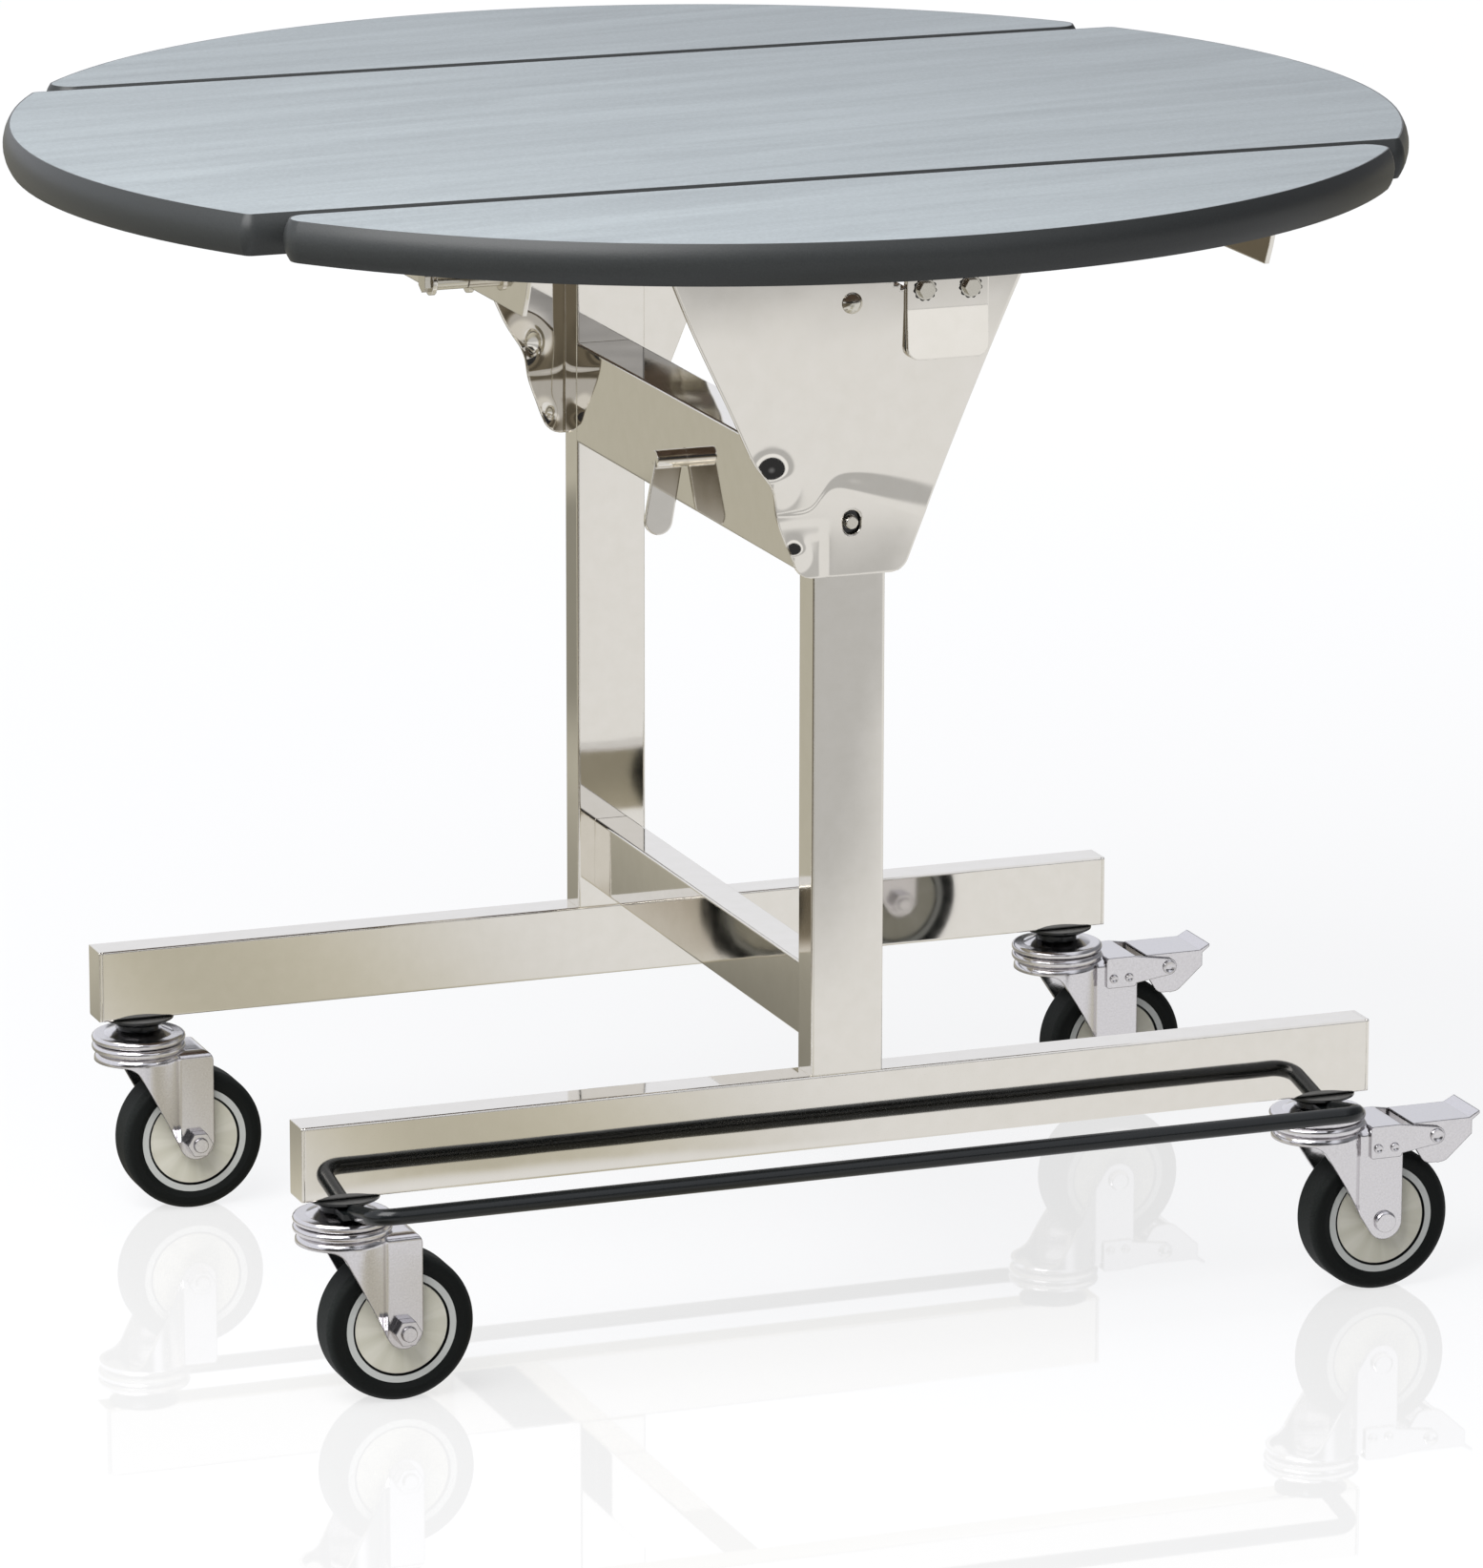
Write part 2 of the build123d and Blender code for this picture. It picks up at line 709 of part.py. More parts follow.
def release_lever():
    """Shaft through the beam's wall with a flat hanging tongue outside and a crank inside."""
    inside = post_left + beam_width / 2 - crank_sheet
    shaft = (post_left - lever_reach, inside)
    body = bar_x(lever_shaft_radius, shaft, 0, lever_height)
    right = post_left - lever_tongue_gap
    left = right - lever_tongue_width
    tip = Pos(left + lever_tongue_width / 2 - lever_tongue_lean, lever_height - lever_tongue_drop)
    tip_circle = tip * CenterArc((0, 0), lever_tongue_width / 2, 0, 360)
    outline = make_hull([tip_circle.edge(), Line((left, lever_height), (right, lever_height)).edge()])
    half = lever_tongue_sheet / 2
    body += extrude(Plane.XZ.offset(-half) * outline, lever_tongue_sheet)
    crank = extrude(Plane.YZ * SlotOverall(2 * crank_radius, crank_width), crank_sheet)
    return body + Pos(inside, 0, lever_height) * crank


far_pin = lock_pin()
save("far_lock_pin", far_pin)
save("near_lock_pin", mirrored(far_pin))
far_guide = lock_guide()
save("lock_guides", far_guide, mirrored(far_guide))
far_spring = lock_spring()
save("lock_springs", far_spring, mirrored(far_spring))
save("release_lever", release_lever())


# Castors
def castor_stem(x, y):
    """Stem through fork head, bumper eye and rail, riveted over below the fork's crown."""
    foot = (crown_under - body_gap - stem_foot_height, crown_under - body_gap)
    body = bar_z(stem_radius, x, y, (foot[0], rail_under + stem_rise))
    return body + bar_z(stem_foot_radius, x, y, foot)


def race_profile(low, high, bore):
    """Half section of a ball race's rim with a rounded edge."""
    flat = head_radius - head_rim
    lines = [
        Line((bore, low), (flat, low)),
        ThreePointArc((flat, low), (head_radius, (low + high) / 2), (flat, high)),
        Line((flat, high), (bore, high)),
        Line((bore, high), (bore, low)),
    ]
    return make_face(lines)


def upper_race(x, y):
    """Fixed upper race: a rounded rim under a low cone."""
    bore = stem_radius + bolt_clearance
    high = upper_race_under + upper_race_height
    body = turned(race_profile(upper_race_under, high, bore), x, y)
    cone = Polygon(
        (bore, high),
        (upper_race_step, high),
        (upper_race_top, eye_under),
        (bore, eye_under),
        align=None,
    )
    return body + turned(cone, x, y)


def cone_washer(x, y):
    """Black washer that widens up to the rail."""
    bore = stem_radius + bolt_clearance
    lip = rail_under - cone_lip_height
    profile = Polygon(
        (bore, eye_top),
        (cone_foot_radius, eye_top),
        (cone_top_radius, lip),
        (cone_top_radius, rail_under),
        (bore, rail_under),
        align=None,
    )
    return turned(profile, x, y)


def fork_outline(trail):
    """Side view of the fork: a crown plate over a teardrop that runs down to the axle's boss."""
    boss = Pos(trail, axle_height) * CenterArc((0, 0), fork_boss_radius, 0, 360)
    crown = Line((-fork_front, crown_top), (trail + fork_boss_radius, crown_top))
    teardrop = make_hull([boss.edge(), crown.edge()])
    plate = Pos(0, (lip_under + crown_top) / 2) * Rectangle(2 * head_radius, crown_top - lip_under)
    outline = teardrop + plate
    throat = outline.vertices().filter_by(lambda v: abs(v.Y - lip_under) < running_fit)
    outline = fillet(throat.filter_by(lambda v: abs(v.X) < fork_front), fork_throat_radius)
    rear_corner = outline.vertices().group_by(Axis.Y)[-1].sort_by(Axis.X)[-1]
    return fillet(rear_corner, fork_rear_radius)


def fork(trail):
    """Pressed fork at the origin: round skirt and flat legs under a rimmed head."""
    low = axle_height - fork_boss_radius
    rear = trail + fork_boss_radius
    skirt_radius = head_radius - head_rim / 2
    plan = Circle(skirt_radius) + Pos(rear / 2, 0) * Rectangle(rear, 2 * leg_outer)
    valleys = plan.vertices().filter_by(lambda v: 0 < v.X < rear - running_fit)
    plan = fillet(valleys, fork_valley_radius)
    body = extrude(Pos(0, 0, low) * plan, crown_top - low)
    rim = body.edges().group_by(Axis.Z)[-1].filter_by(lambda e: e.center().X < rear - running_fit)
    body = fillet(rim, fork_bend_radius)
    body &= extrude(Plane.XZ.offset(-head_radius) * fork_outline(trail), 2 * head_radius)
    body -= bar_z(skirt_radius - fork_sheet, 0, 0, (low, crown_under))
    body -= block((-head_radius, 0), (-leg_inner, leg_inner), (low, lip_under))
    body -= block((0, rear), (-leg_inner, leg_inner), (low, crown_under))
    bore = stem_radius + running_fit
    body += turned(race_profile(crown_top, lower_race_top, bore), 0, 0)
    body -= bar_z(bore, 0, 0, (low, lower_race_top))
    hole = (-head_radius, head_radius)
    return body - bar_y(axle_radius + bolt_clearance, trail, hole, axle_height)


def axle(trail):
    """Wheel bolt with a round head at +Y, and its nut at -Y, as separate solids."""
    end = leg_outer + axle_nut_height + axle_end_length
    bolt = bar_y(axle_radius, trail, (-end, leg_outer), axle_height)
    head = (leg_outer, leg_outer + axle_head_height)
    head = bar_y(axle_head_radius, trail, head, axle_height)
    rim = head.edges().filter_by(GeomType.CIRCLE).sort_by(Axis.Y)[-1]
    bolt += fillet(rim, axle_head_height / 2)
    nut = Rot(90, 0, 0) * hexagon(axle_nut_width, axle_nut_height)
    nut = Pos(trail, -leg_outer, axle_height) * nut
    nut -= bar_y(axle_radius + bolt_clearance, trail, (-end, 0), axle_height)
    return [bolt, nut]


def wheel_turned(profile, trail):
    """Turn a wheel profile drawn as radius and width about the axle."""
    turned_part = revolve(profile, Axis.Y)
    return Pos(trail, 0, axle_height) * turned_part


def wheel_hub(trail):
    """Wheel centre: hub, dished disc, groove and rim ring."""
    bore = axle_radius + running_fit
    hub = leg_inner - body_gap
    face = wheel_width / 2 - disc_recess
    root = face - groove_depth
    half = [
        (bore, hub),
        (hub_radius, hub),
        (hub_radius + (hub - face) / 2, face),
        (disc_radius, face),
        (disc_radius, root),
        (rim_groove_radius, root),
        (rim_groove_radius, face + rim_step),
        (rim_radius, face + rim_step),
    ]
    other = [(radius, -width) for radius, width in reversed(half)]
    return wheel_turned(Polygon(*half, *other, align=None), trail)


def wheel_tyre(trail):
    """Rubber tyre with a flat tread and rounded shoulders."""
    tread = wheel_diameter / 2
    side = wheel_width / 2
    edge = side - disc_recess + rim_step
    half = [(rim_radius, edge), (rim_radius + tyre_wall, side), (tread, side)]
    other = [(radius, -width) for radius, width in reversed(half)]
    profile = Polygon(*half, *other, align=None)
    shoulders = profile.vertices().group_by(Axis.X)[-1]
    return wheel_turned(fillet(shoulders, tyre_shoulder_radius), trail)


# Castor brakes
def brake_bracket():
    """Saddle over the fork's rear, with two arms that carry the pedal's rivet."""
    top = crown_top + brake_plate_sheet
    front = braked_trail - brake_plate_front
    rear = braked_trail + brake_plate_rear
    low = top - brake_plate_drop
    pivot_x = braked_trail + brake_pivot_reach
    pivot_z = axle_height + brake_pivot_height
    outer = leg_outer + brake_plate_sheet
    lug = Pos(pivot_x, pivot_z) * CenterArc((0, 0), brake_lug_radius, 0, 360)
    root_x = rear - brake_plate_sheet
    root = Line((root_x, low + brake_plate_sheet), (root_x, top))
    side = make_hull([lug.edge(), root.edge()])
    plate = RectangleRounded(rear - front, top - low, brake_plate_sheet)
    side += Pos((front + rear) / 2, (low + top) / 2) * plate
    body = extrude(Plane.XZ.offset(-outer) * side, 2 * outer)
    end = pivot_x + brake_lug_radius
    body -= block((front, end), (-leg_outer, leg_outer), (low, crown_top))
    body -= block((rear, end), (-leg_outer, leg_outer), (low, top + brake_lug_radius))
    body -= bar_z(head_radius + body_gap, 0, 0, (crown_top, lower_race_top))
    body += bar_y(brake_pivot_radius, pivot_x, (-outer, outer), pivot_z)
    rivets = [(pivot_x, pivot_z, brake_pivot_head_radius)]
    middle = (front + rear) / 2
    for step in (-0.5, 0.5):
        rivet_x = middle + step * brake_rivet_spacing
        rivets.append((rivet_x, top - brake_rivet_drop, brake_rivet_radius))
    for x, z, radius in rivets:
        body += bar_y(radius, x, (outer, outer + rivet_head_height), z)
        body += bar_y(radius, x, (-outer - rivet_head_height, -outer), z)
    return body


def brake_pedal():
    """Channel-shaped pedal with side cheeks, a turned-up tip and a bar above the tread."""
    front = braked_trail + pedal_front
    rear = braked_trail + pedal_rear
    top = axle_height + pedal_top_height
    cheek = leg_outer - body_gap
    lobe = axle_height + pedal_lobe_height
    tail = axle_height + pedal_tail_height
    outline = Polygon(
        (front, top),
        (front, (lobe + top) / 2),
        (braked_trail + pedal_lobe_front, lobe),
        (braked_trail + pedal_lobe_rear, lobe),
        (rear, tail),
        (rear, top),
        align=None,
    )
    outline = fillet(outline.vertices().group_by(Axis.Y)[0], pedal_corner_radius)
    body = extrude(Plane.XZ.offset(-cheek) * outline, 2 * cheek)
    inner = cheek - pedal_sheet
    long = (front - pedal_sheet, rear + pedal_sheet)
    body -= block(long, (-inner, inner), (lobe, top - pedal_sheet))
    tip = Polygon(
        (rear - pedal_sheet, top - pedal_sheet),
        (rear, top - pedal_sheet),
        (rear + pedal_tip_reach, top + pedal_tip_rise - pedal_sheet),
        (rear + pedal_tip_reach, top + pedal_tip_rise),
        (rear - pedal_sheet, top),
        align=None,
    )
    body += extrude(Plane.XZ.offset(-cheek) * tip, 2 * cheek)
    angle = radians(shoe_place_angle)
    shoe_x = braked_trail + shoe_place_radius * cos(angle)
    shoe_z = axle_height + shoe_place_radius * sin(angle)
    body += bar_y(shoe_radius, shoe_x, (-cheek, cheek), shoe_z)
    pivot = (braked_trail + brake_pivot_reach, axle_height + brake_pivot_height)
    return body - bar_y(brake_pivot_radius + running_fit, pivot[0], (-cheek, cheek), pivot[1])


save("castor_stems", *[castor_stem(*place) for place in castor_places.values()])
save("castor_upper_races", *[upper_race(*place) for place in castor_places.values()])
save("castor_cone_washers", *[cone_washer(*place) for place in castor_places.values()])

for corner, (x, y) in castor_places.items():
    place = Pos(x, y, 0)
    braked = corner.endswith("right")
    trail = braked_trail if braked else plain_trail
    bolt = axle(trail)
    if braked:
        bolt = [mirror(solid, about=Plane.XZ) for solid in bolt]
        save(f"{corner}_brake_bracket", place * brake_bracket())
        save(f"{corner}_brake_pedal", place * brake_pedal())
    save(f"{corner}_fork", place * fork(trail))
    save(f"{corner}_axle", *[place * solid for solid in bolt])
    save(f"{corner}_wheel_hub", place * wheel_hub(trail))
    save(f"{corner}_tyre", place * wheel_tyre(trail))
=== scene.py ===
import json
from math import cos, pi, radians, sin

import bpy
import numpy as np
from mathutils import Matrix, Vector


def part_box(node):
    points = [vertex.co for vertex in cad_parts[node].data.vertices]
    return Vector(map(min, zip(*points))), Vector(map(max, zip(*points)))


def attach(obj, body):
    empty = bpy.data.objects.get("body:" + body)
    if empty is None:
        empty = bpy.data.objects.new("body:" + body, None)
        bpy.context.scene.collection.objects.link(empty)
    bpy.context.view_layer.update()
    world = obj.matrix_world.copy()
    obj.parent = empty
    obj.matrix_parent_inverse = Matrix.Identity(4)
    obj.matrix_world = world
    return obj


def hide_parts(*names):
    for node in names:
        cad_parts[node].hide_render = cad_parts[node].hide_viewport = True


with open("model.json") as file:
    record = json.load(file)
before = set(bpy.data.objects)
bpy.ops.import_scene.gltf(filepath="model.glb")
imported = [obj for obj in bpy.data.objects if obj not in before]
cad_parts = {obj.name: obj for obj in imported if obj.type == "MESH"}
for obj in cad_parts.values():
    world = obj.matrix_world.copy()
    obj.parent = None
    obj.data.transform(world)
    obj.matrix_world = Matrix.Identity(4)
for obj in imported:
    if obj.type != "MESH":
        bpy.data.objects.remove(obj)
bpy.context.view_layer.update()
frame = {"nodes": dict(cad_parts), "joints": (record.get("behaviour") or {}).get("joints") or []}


# Base frame
# Rails, posts, upper beam and lower crossbar are rectangular stainless tube, welded, ground flush at
# the joints and buffed to a mirror. Plates of the same steel close the tube's ends.

mm = 0.001


def colour(code):
    """Linear RGBA of an sRGB hex code: c / 12.92 up to 0.04045, else ((c + 0.055) / 1.055) ** 2.4."""
    parts = np.array([int(code[start : start + 2], 16) for start in (1, 3, 5)]) / 255
    linear = np.where(parts <= 0.04045, parts / 12.92, ((parts + 0.055) / 1.055) ** 2.4)
    return (*linear.tolist(), 1.0)


def socket(sockets, key):
    """A node's socket by its identifier or its name, or by its number."""
    if isinstance(key, int):
        return sockets[key]
    return next(each for each in sockets if key in (each.identifier, each.name))


def add(tree, kind, inputs, out=0, **settings):
    """Add one node: inputs are values or other nodes' outputs, and its own output is returned."""
    node = tree.nodes.new(kind)
    for name, value in settings.items():
        setattr(node, name, value)
    for key, value in inputs.items():
        if isinstance(value, bpy.types.NodeSocket):
            tree.links.new(value, socket(node.inputs, key))
        else:
            socket(node.inputs, key).default_value = value
    return socket(node.outputs, out) if len(node.outputs) else None


def new_material(name):
    """An empty material, its node tree and its Object coordinates."""
    material = bpy.data.materials.new(name)
    material.use_nodes = True
    material.node_tree.nodes.clear()
    return material, material.node_tree, add(material.node_tree, "ShaderNodeTexCoord", {}, "Object")


def dress(material, *names):
    """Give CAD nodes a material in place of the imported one."""
    for name in names:
        slots = frame["nodes"][name].data.materials
        slots.clear()
        slots.append(material)


def mirror_polished_stainless():
    """Buffed stainless sheet and tube: a clear mirror, faintly wavy and streaked by the buffing wheel."""
    wave_length, smear_length = 70 * mm, 12 * mm
    edge_radius = 1.3 * mm
    material, tree, place = new_material("mirror_polished_stainless")
    wave = add(tree, "ShaderNodeTexNoise", {"Vector": place, "Scale": 1 / wave_length, "Detail": 1.0})
    smear = add(tree, "ShaderNodeTexNoise", {"Vector": place, "Scale": 1 / smear_length, "Detail": 3.0})
    rough = add(tree, "ShaderNodeMapRange", {"Value": smear, "To Min": 0.02, "To Max": 0.06})
    edge = add(tree, "ShaderNodeBevel", {"Radius": edge_radius}, samples=6)
    bump = {"Height": wave, "Strength": 0.25, "Distance": 0.6 * mm, "Normal": edge}
    bump = add(tree, "ShaderNodeBump", bump)
    base = {"Factor_Float": smear, "A_Color": colour("#E3DFD6"), "B_Color": colour("#EBE7E0")}
    base = add(tree, "ShaderNodeMix", base, "Result_Color", data_type="RGBA")
    steel = {"Base Color": base, "Metallic": 1.0, "Roughness": rough, "Normal": bump}
    shader = add(tree, "ShaderNodeBsdfPrincipled", steel)
    add(tree, "ShaderNodeOutputMaterial", {"Surface": shader})
    return material


# Each side of the trolley, with the way along Y that leads outward on it
sides = {"near": -1, "far": 1}
polished_steel = mirror_polished_stainless()
dress(polished_steel, "tube_end_caps", "upper_beam", "lower_crossbar")
dress(polished_steel, *[f"{side}_{piece}" for side in sides for piece in ("base_rail", "post")])


# Bumper rods
# Steel rod bent to a shallow U in front of each rail, with a gloss black powder coat. Its flattened
# ends are clamped on the castor stems.


def gloss_black_powder_coat():
    """Stoved powder coat on steel rod: deep black with a clear gloss and a fine orange peel."""
    peel_length = 1.6 * mm
    material, tree, place = new_material("gloss_black_powder_coat")
    peel = add(tree, "ShaderNodeTexNoise", {"Vector": place, "Scale": 1 / peel_length, "Detail": 1.0})
    rough = add(tree, "ShaderNodeMapRange", {"Value": peel, "To Min": 0.16, "To Max": 0.30})
    bump = add(tree, "ShaderNodeBump", {"Height": peel, "Strength": 0.2, "Distance": 0.1 * mm})
    coat = {"Base Color": colour("#181B1C"), "Roughness": rough, "Specular IOR Level": 0.4, "Normal": bump}
    shader = add(tree, "ShaderNodeBsdfPrincipled", coat)
    add(tree, "ShaderNodeOutputMaterial", {"Surface": shader})
    return material


dress(gloss_black_powder_coat(), *[f"{side}_bumper_rod" for side in sides])


# Castor forks
# Stems, races, forks and wheel bolts are turned and pressed steel with bright zinc plate. A black
# moulded cone washer sits between each upper race and the rail.


def bright_zinc_plate():
    """Bright zinc on pressed steel: cool white, with bloom, fine speckle, dusty tops and painted edge
    shade.
    """
    bloom_length, dent_length = 6 * mm, 18 * mm
    # The real speckle is finer and is drawn coarse enough to show
    speckle_length = 1.2 * mm
    edge_radius = 1.2 * mm
    material, tree, place = new_material("bright_zinc_plate")
    bloom = add(tree, "ShaderNodeTexNoise", {"Vector": place, "Scale": 1 / bloom_length, "Detail": 2.0})
    dent = add(tree, "ShaderNodeTexNoise", {"Vector": place, "Scale": 1 / dent_length, "Detail": 1.0})
    speckle = add(tree, "ShaderNodeTexNoise", {"Vector": place, "Scale": 1 / speckle_length, "Detail": 2.0})
    rough = add(tree, "ShaderNodeMapRange", {"Value": bloom, "To Min": 0.10, "To Max": 0.20})
    edge = add(tree, "ShaderNodeBevel", {"Radius": edge_radius}, samples=6)
    facing = add(tree, "ShaderNodeNewGeometry", {}, "Normal")
    # Painted shade: the colour turns dark grey along edges, where the rounded normal leaves the face's own
    painted_edge_shade = add(tree, "ShaderNodeVectorMath", {0: edge, 1: facing}, "Value", operation="DOT_PRODUCT")
    painted_edge_shade = {"Value": painted_edge_shade, "From Min": 0.80, "From Max": 0.985, "To Min": 1.0, "To Max": 0.0}
    painted_edge_shade = add(tree, "ShaderNodeMapRange", painted_edge_shade)
    bump = {"Height": dent, "Strength": 0.3, "Distance": 0.4 * mm, "Normal": edge}
    bump = add(tree, "ShaderNodeBump", bump)
    bump = {"Height": speckle, "Strength": 0.35, "Distance": 0.05 * mm, "Normal": bump}
    bump = add(tree, "ShaderNodeBump", bump)
    bright = {"Factor_Float": speckle, "A_Color": colour("#CFCCCE"), "B_Color": colour("#E6E4E6")}
    bright = add(tree, "ShaderNodeMix", bright, "Result_Color", data_type="RGBA")
    upward = add(tree, "ShaderNodeSeparateXYZ", {0: facing}, "Z")
    dust = {"Value": upward, "From Min": 0.90, "From Max": 0.99, "To Min": 0.0, "To Max": 0.55}
    dust = add(tree, "ShaderNodeMapRange", dust)
    dusty = {"Factor_Float": dust, "A_Color": bright, "B_Color": colour("#C6C3C3")}
    dusty = add(tree, "ShaderNodeMix", dusty, "Result_Color", data_type="RGBA")
    base = {"Factor_Float": painted_edge_shade, "A_Color": dusty, "B_Color": colour("#454244")}
    base = add(tree, "ShaderNodeMix", base, "Result_Color", data_type="RGBA")
    plate = {"Base Color": base, "Metallic": 1.0, "Roughness": rough, "Normal": bump}
    shader = add(tree, "ShaderNodeBsdfPrincipled", plate)
    add(tree, "ShaderNodeOutputMaterial", {"Surface": shader})
    return material


def black_moulded_nylon():
    """Moulded black nylon: glossy black with faint flow marks."""
    flow_length = 8 * mm
    material, tree, place = new_material("black_moulded_nylon")
    flow = add(tree, "ShaderNodeTexNoise", {"Vector": place, "Scale": 1 / flow_length, "Detail": 2.0})
    rough = add(tree, "ShaderNodeMapRange", {"Value": flow, "To Min": 0.12, "To Max": 0.28})
    nylon = {"Base Color": colour("#111212"), "Roughness": rough, "IOR": 1.53}
    shader = add(tree, "ShaderNodeBsdfPrincipled", nylon)
    add(tree, "ShaderNodeOutputMaterial", {"Surface": shader})
    return material


corners = ("near_left", "near_right", "far_left", "far_right")
zinc = bright_zinc_plate()
dress(zinc, "castor_stems", "castor_upper_races")
dress(zinc, *[f"{corner}_{piece}" for corner in corners for piece in ("fork", "axle")])
black_nylon = black_moulded_nylon()
dress(black_nylon, "castor_cone_washers")


# Brakes
# A pressed bracket on each right hand fork carries a folded pedal, both zinc plated like the fork.
# Their rivets are hollow, and each ends in a rolled rim round a shallow cup.

dress(zinc, *[f"{side}_right_brake_{piece}" for side in sides for piece in ("bracket", "pedal")])


def turned_about_y(x, z, radii, heights, outward):
    """Rings (x + r sin t, h, z + r cos t) of a body turned about Y, for its profile r, h from the foot up,
    turned the other way on the near side so that faces point outward."""
    steps = 40
    turn = np.linspace(0, 2 * pi, steps, endpoint=False) * outward
    across = x + radii[:, None] * np.sin(turn)
    upward = z + radii[:, None] * np.cos(turn)
    return np.stack([across, np.broadcast_to(heights[:, None], across.shape), upward], axis=-1)


def closed_turnings(turnings, name):
    """Mesh of turned bodies: each ring of points joined to the next by quads, the end rings filled."""
    points, faces, smooth, start = [], [], [], 0
    for rings in turnings:
        count, steps = rings.shape[:2]
        here = start + np.arange(count - 1)[:, None] * steps + np.arange(steps)
        after = start + np.arange(count - 1)[:, None] * steps + (np.arange(steps) + 1) % steps
        quads = np.stack([here, after, after + steps, here + steps], axis=-1).reshape(-1, 4)
        rim = start + np.arange(steps)
        faces += quads.tolist() + [rim[::-1].tolist(), (rim + (count - 1) * steps).tolist()]
        smooth += [True] * len(quads) + [False, False]
        points.append(rings.reshape(-1, 3))
        start += count * steps
    mesh = bpy.data.meshes.new(name)
    mesh.from_pydata(np.concatenate(points).tolist(), [], faces)
    mesh.polygons.foreach_set("use_smooth", smooth)
    return mesh


def new_piece(mesh, material, body):
    """Link a finished mesh as a piece that rides on a body and takes a slot's finish."""
    mesh.materials.append(material)
    piece = bpy.data.objects.new(mesh.name, mesh)
    bpy.context.scene.collection.objects.link(piece)
    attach(piece, body)
    return piece


def rivet_rim(x, z, radius, middle, outward):
    """Rolled rim over a hollow rivet's head: up the outside, over the rim and down to the cup's floor."""
    plate_face, sunk, head = 23.0 * mm, 0.1 * mm, 1.2 * mm
    shoulder, rim, cup = 1.65 * mm, 1.8 * mm, 1.3 * mm
    overhang, roll, lip, cup_share = 0.25 * mm, 0.45 * mm, 1.1 * mm, 0.2
    radii = np.array([overhang, overhang, 0.0, -roll, -2 * roll, -lip, (cup_share - 1) * radius]) + radius
    heights = np.array([-sunk, head, shoulder, rim, shoulder, cup, cup])
    return turned_about_y(x, z, radii, middle + outward * (plate_face + heights), outward)


joint_places = {joint["name"]: joint.get("pos_m") for joint in frame["joints"]}
bracket_rivet, pivot_rivet = 2.8 * mm, 4.5 * mm
rivet_reaches, rivet_height = (35 * mm, 47 * mm), 102 * mm
for side in sides:
    stem_x, middle, _ = joint_places[f"{side}_right_swivel_turn"]
    pivot_x, _, pivot_height = joint_places[f"{side}_right_pedal_press"]
    rivets = [(stem_x + reach, rivet_height, bracket_rivet) for reach in rivet_reaches]
    rivets.append((pivot_x, pivot_height, pivot_rivet))
    rims = [rivet_rim(*rivet, middle, outward) for rivet in rivets for outward in (-1, 1)]
    rims = closed_turnings(rims, f"{side}_right_brake_rivets")
    new_piece(rims, zinc, f"{side}_right_swivel")


# Wheels
# A cream polypropylene centre, moulded with a raised rim and a groove round its disc, carries a
# black rubber tyre moulded onto it.


def round_the_axle(tree, place, corner):
    """Distance out from a wheel's axle, flat in x and z, and the way out from it at length 1."""
    low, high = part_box(f"{corner}_tyre")
    centred = add(tree, "ShaderNodeMapping", {"Vector": place, "Location": -(low + high) / 2})
    flat = {0: centred, 1: (1.0, 0.0, 1.0)}
    outward = add(tree, "ShaderNodeVectorMath", flat, operation="MULTIPLY")
    radius = add(tree, "ShaderNodeVectorMath", {0: outward}, "Value", operation="LENGTH")
    return radius, add(tree, "ShaderNodeVectorMath", {0: outward}, operation="NORMALIZE")


def moulded_wheel_centre(corner):
    """Cream polypropylene, satin, with flow streaks from the hub, a greyer rim and painted shade in the
    groove.
    """
    groove_radius, groove_half_width = 32.1 * mm, 0.8 * mm
    streaks_per_radian = 2.4
    material, tree, place = new_material(f"moulded_polypropylene_{corner}")
    radius, turn = round_the_axle(tree, place, corner)
    streak = {"Vector": turn, "Scale": streaks_per_radian, "Detail": 2.0}
    streak = add(tree, "ShaderNodeTexNoise", streak)
    streak = add(tree, "ShaderNodeMapRange", {"Value": streak, "From Min": 0.3, "From Max": 0.7})
    disc = {"Factor_Float": streak, "A_Color": colour("#D6D3C0"), "B_Color": colour("#E9E6D7")}
    disc = add(tree, "ShaderNodeMix", disc, "Result_Color", data_type="RGBA")
    outside = add(tree, "ShaderNodeMath", {0: radius, 1: groove_radius}, operation="GREATER_THAN")
    rim = {"Factor_Float": outside, "A_Color": disc, "B_Color": colour("#CDCFCA")}
    rim = add(tree, "ShaderNodeMix", rim, "Result_Color", data_type="RGBA")
    # Painted shade: the groove round the disc is coloured near black
    groove_shade = {0: radius, 1: groove_radius, 2: groove_half_width}
    groove_shade = add(tree, "ShaderNodeMath", groove_shade, operation="COMPARE")
    face = {"Factor_Float": groove_shade, "A_Color": rim, "B_Color": colour("#141515")}
    face = add(tree, "ShaderNodeMix", face, "Result_Color", data_type="RGBA")
    rough = add(tree, "ShaderNodeMapRange", {"Value": streak, "To Min": 0.34, "To Max": 0.46})
    shader = add(tree, "ShaderNodeBsdfPrincipled", {"Base Color": face, "Roughness": rough, "IOR": 1.49})
    add(tree, "ShaderNodeOutputMaterial", {"Surface": shader})
    return material


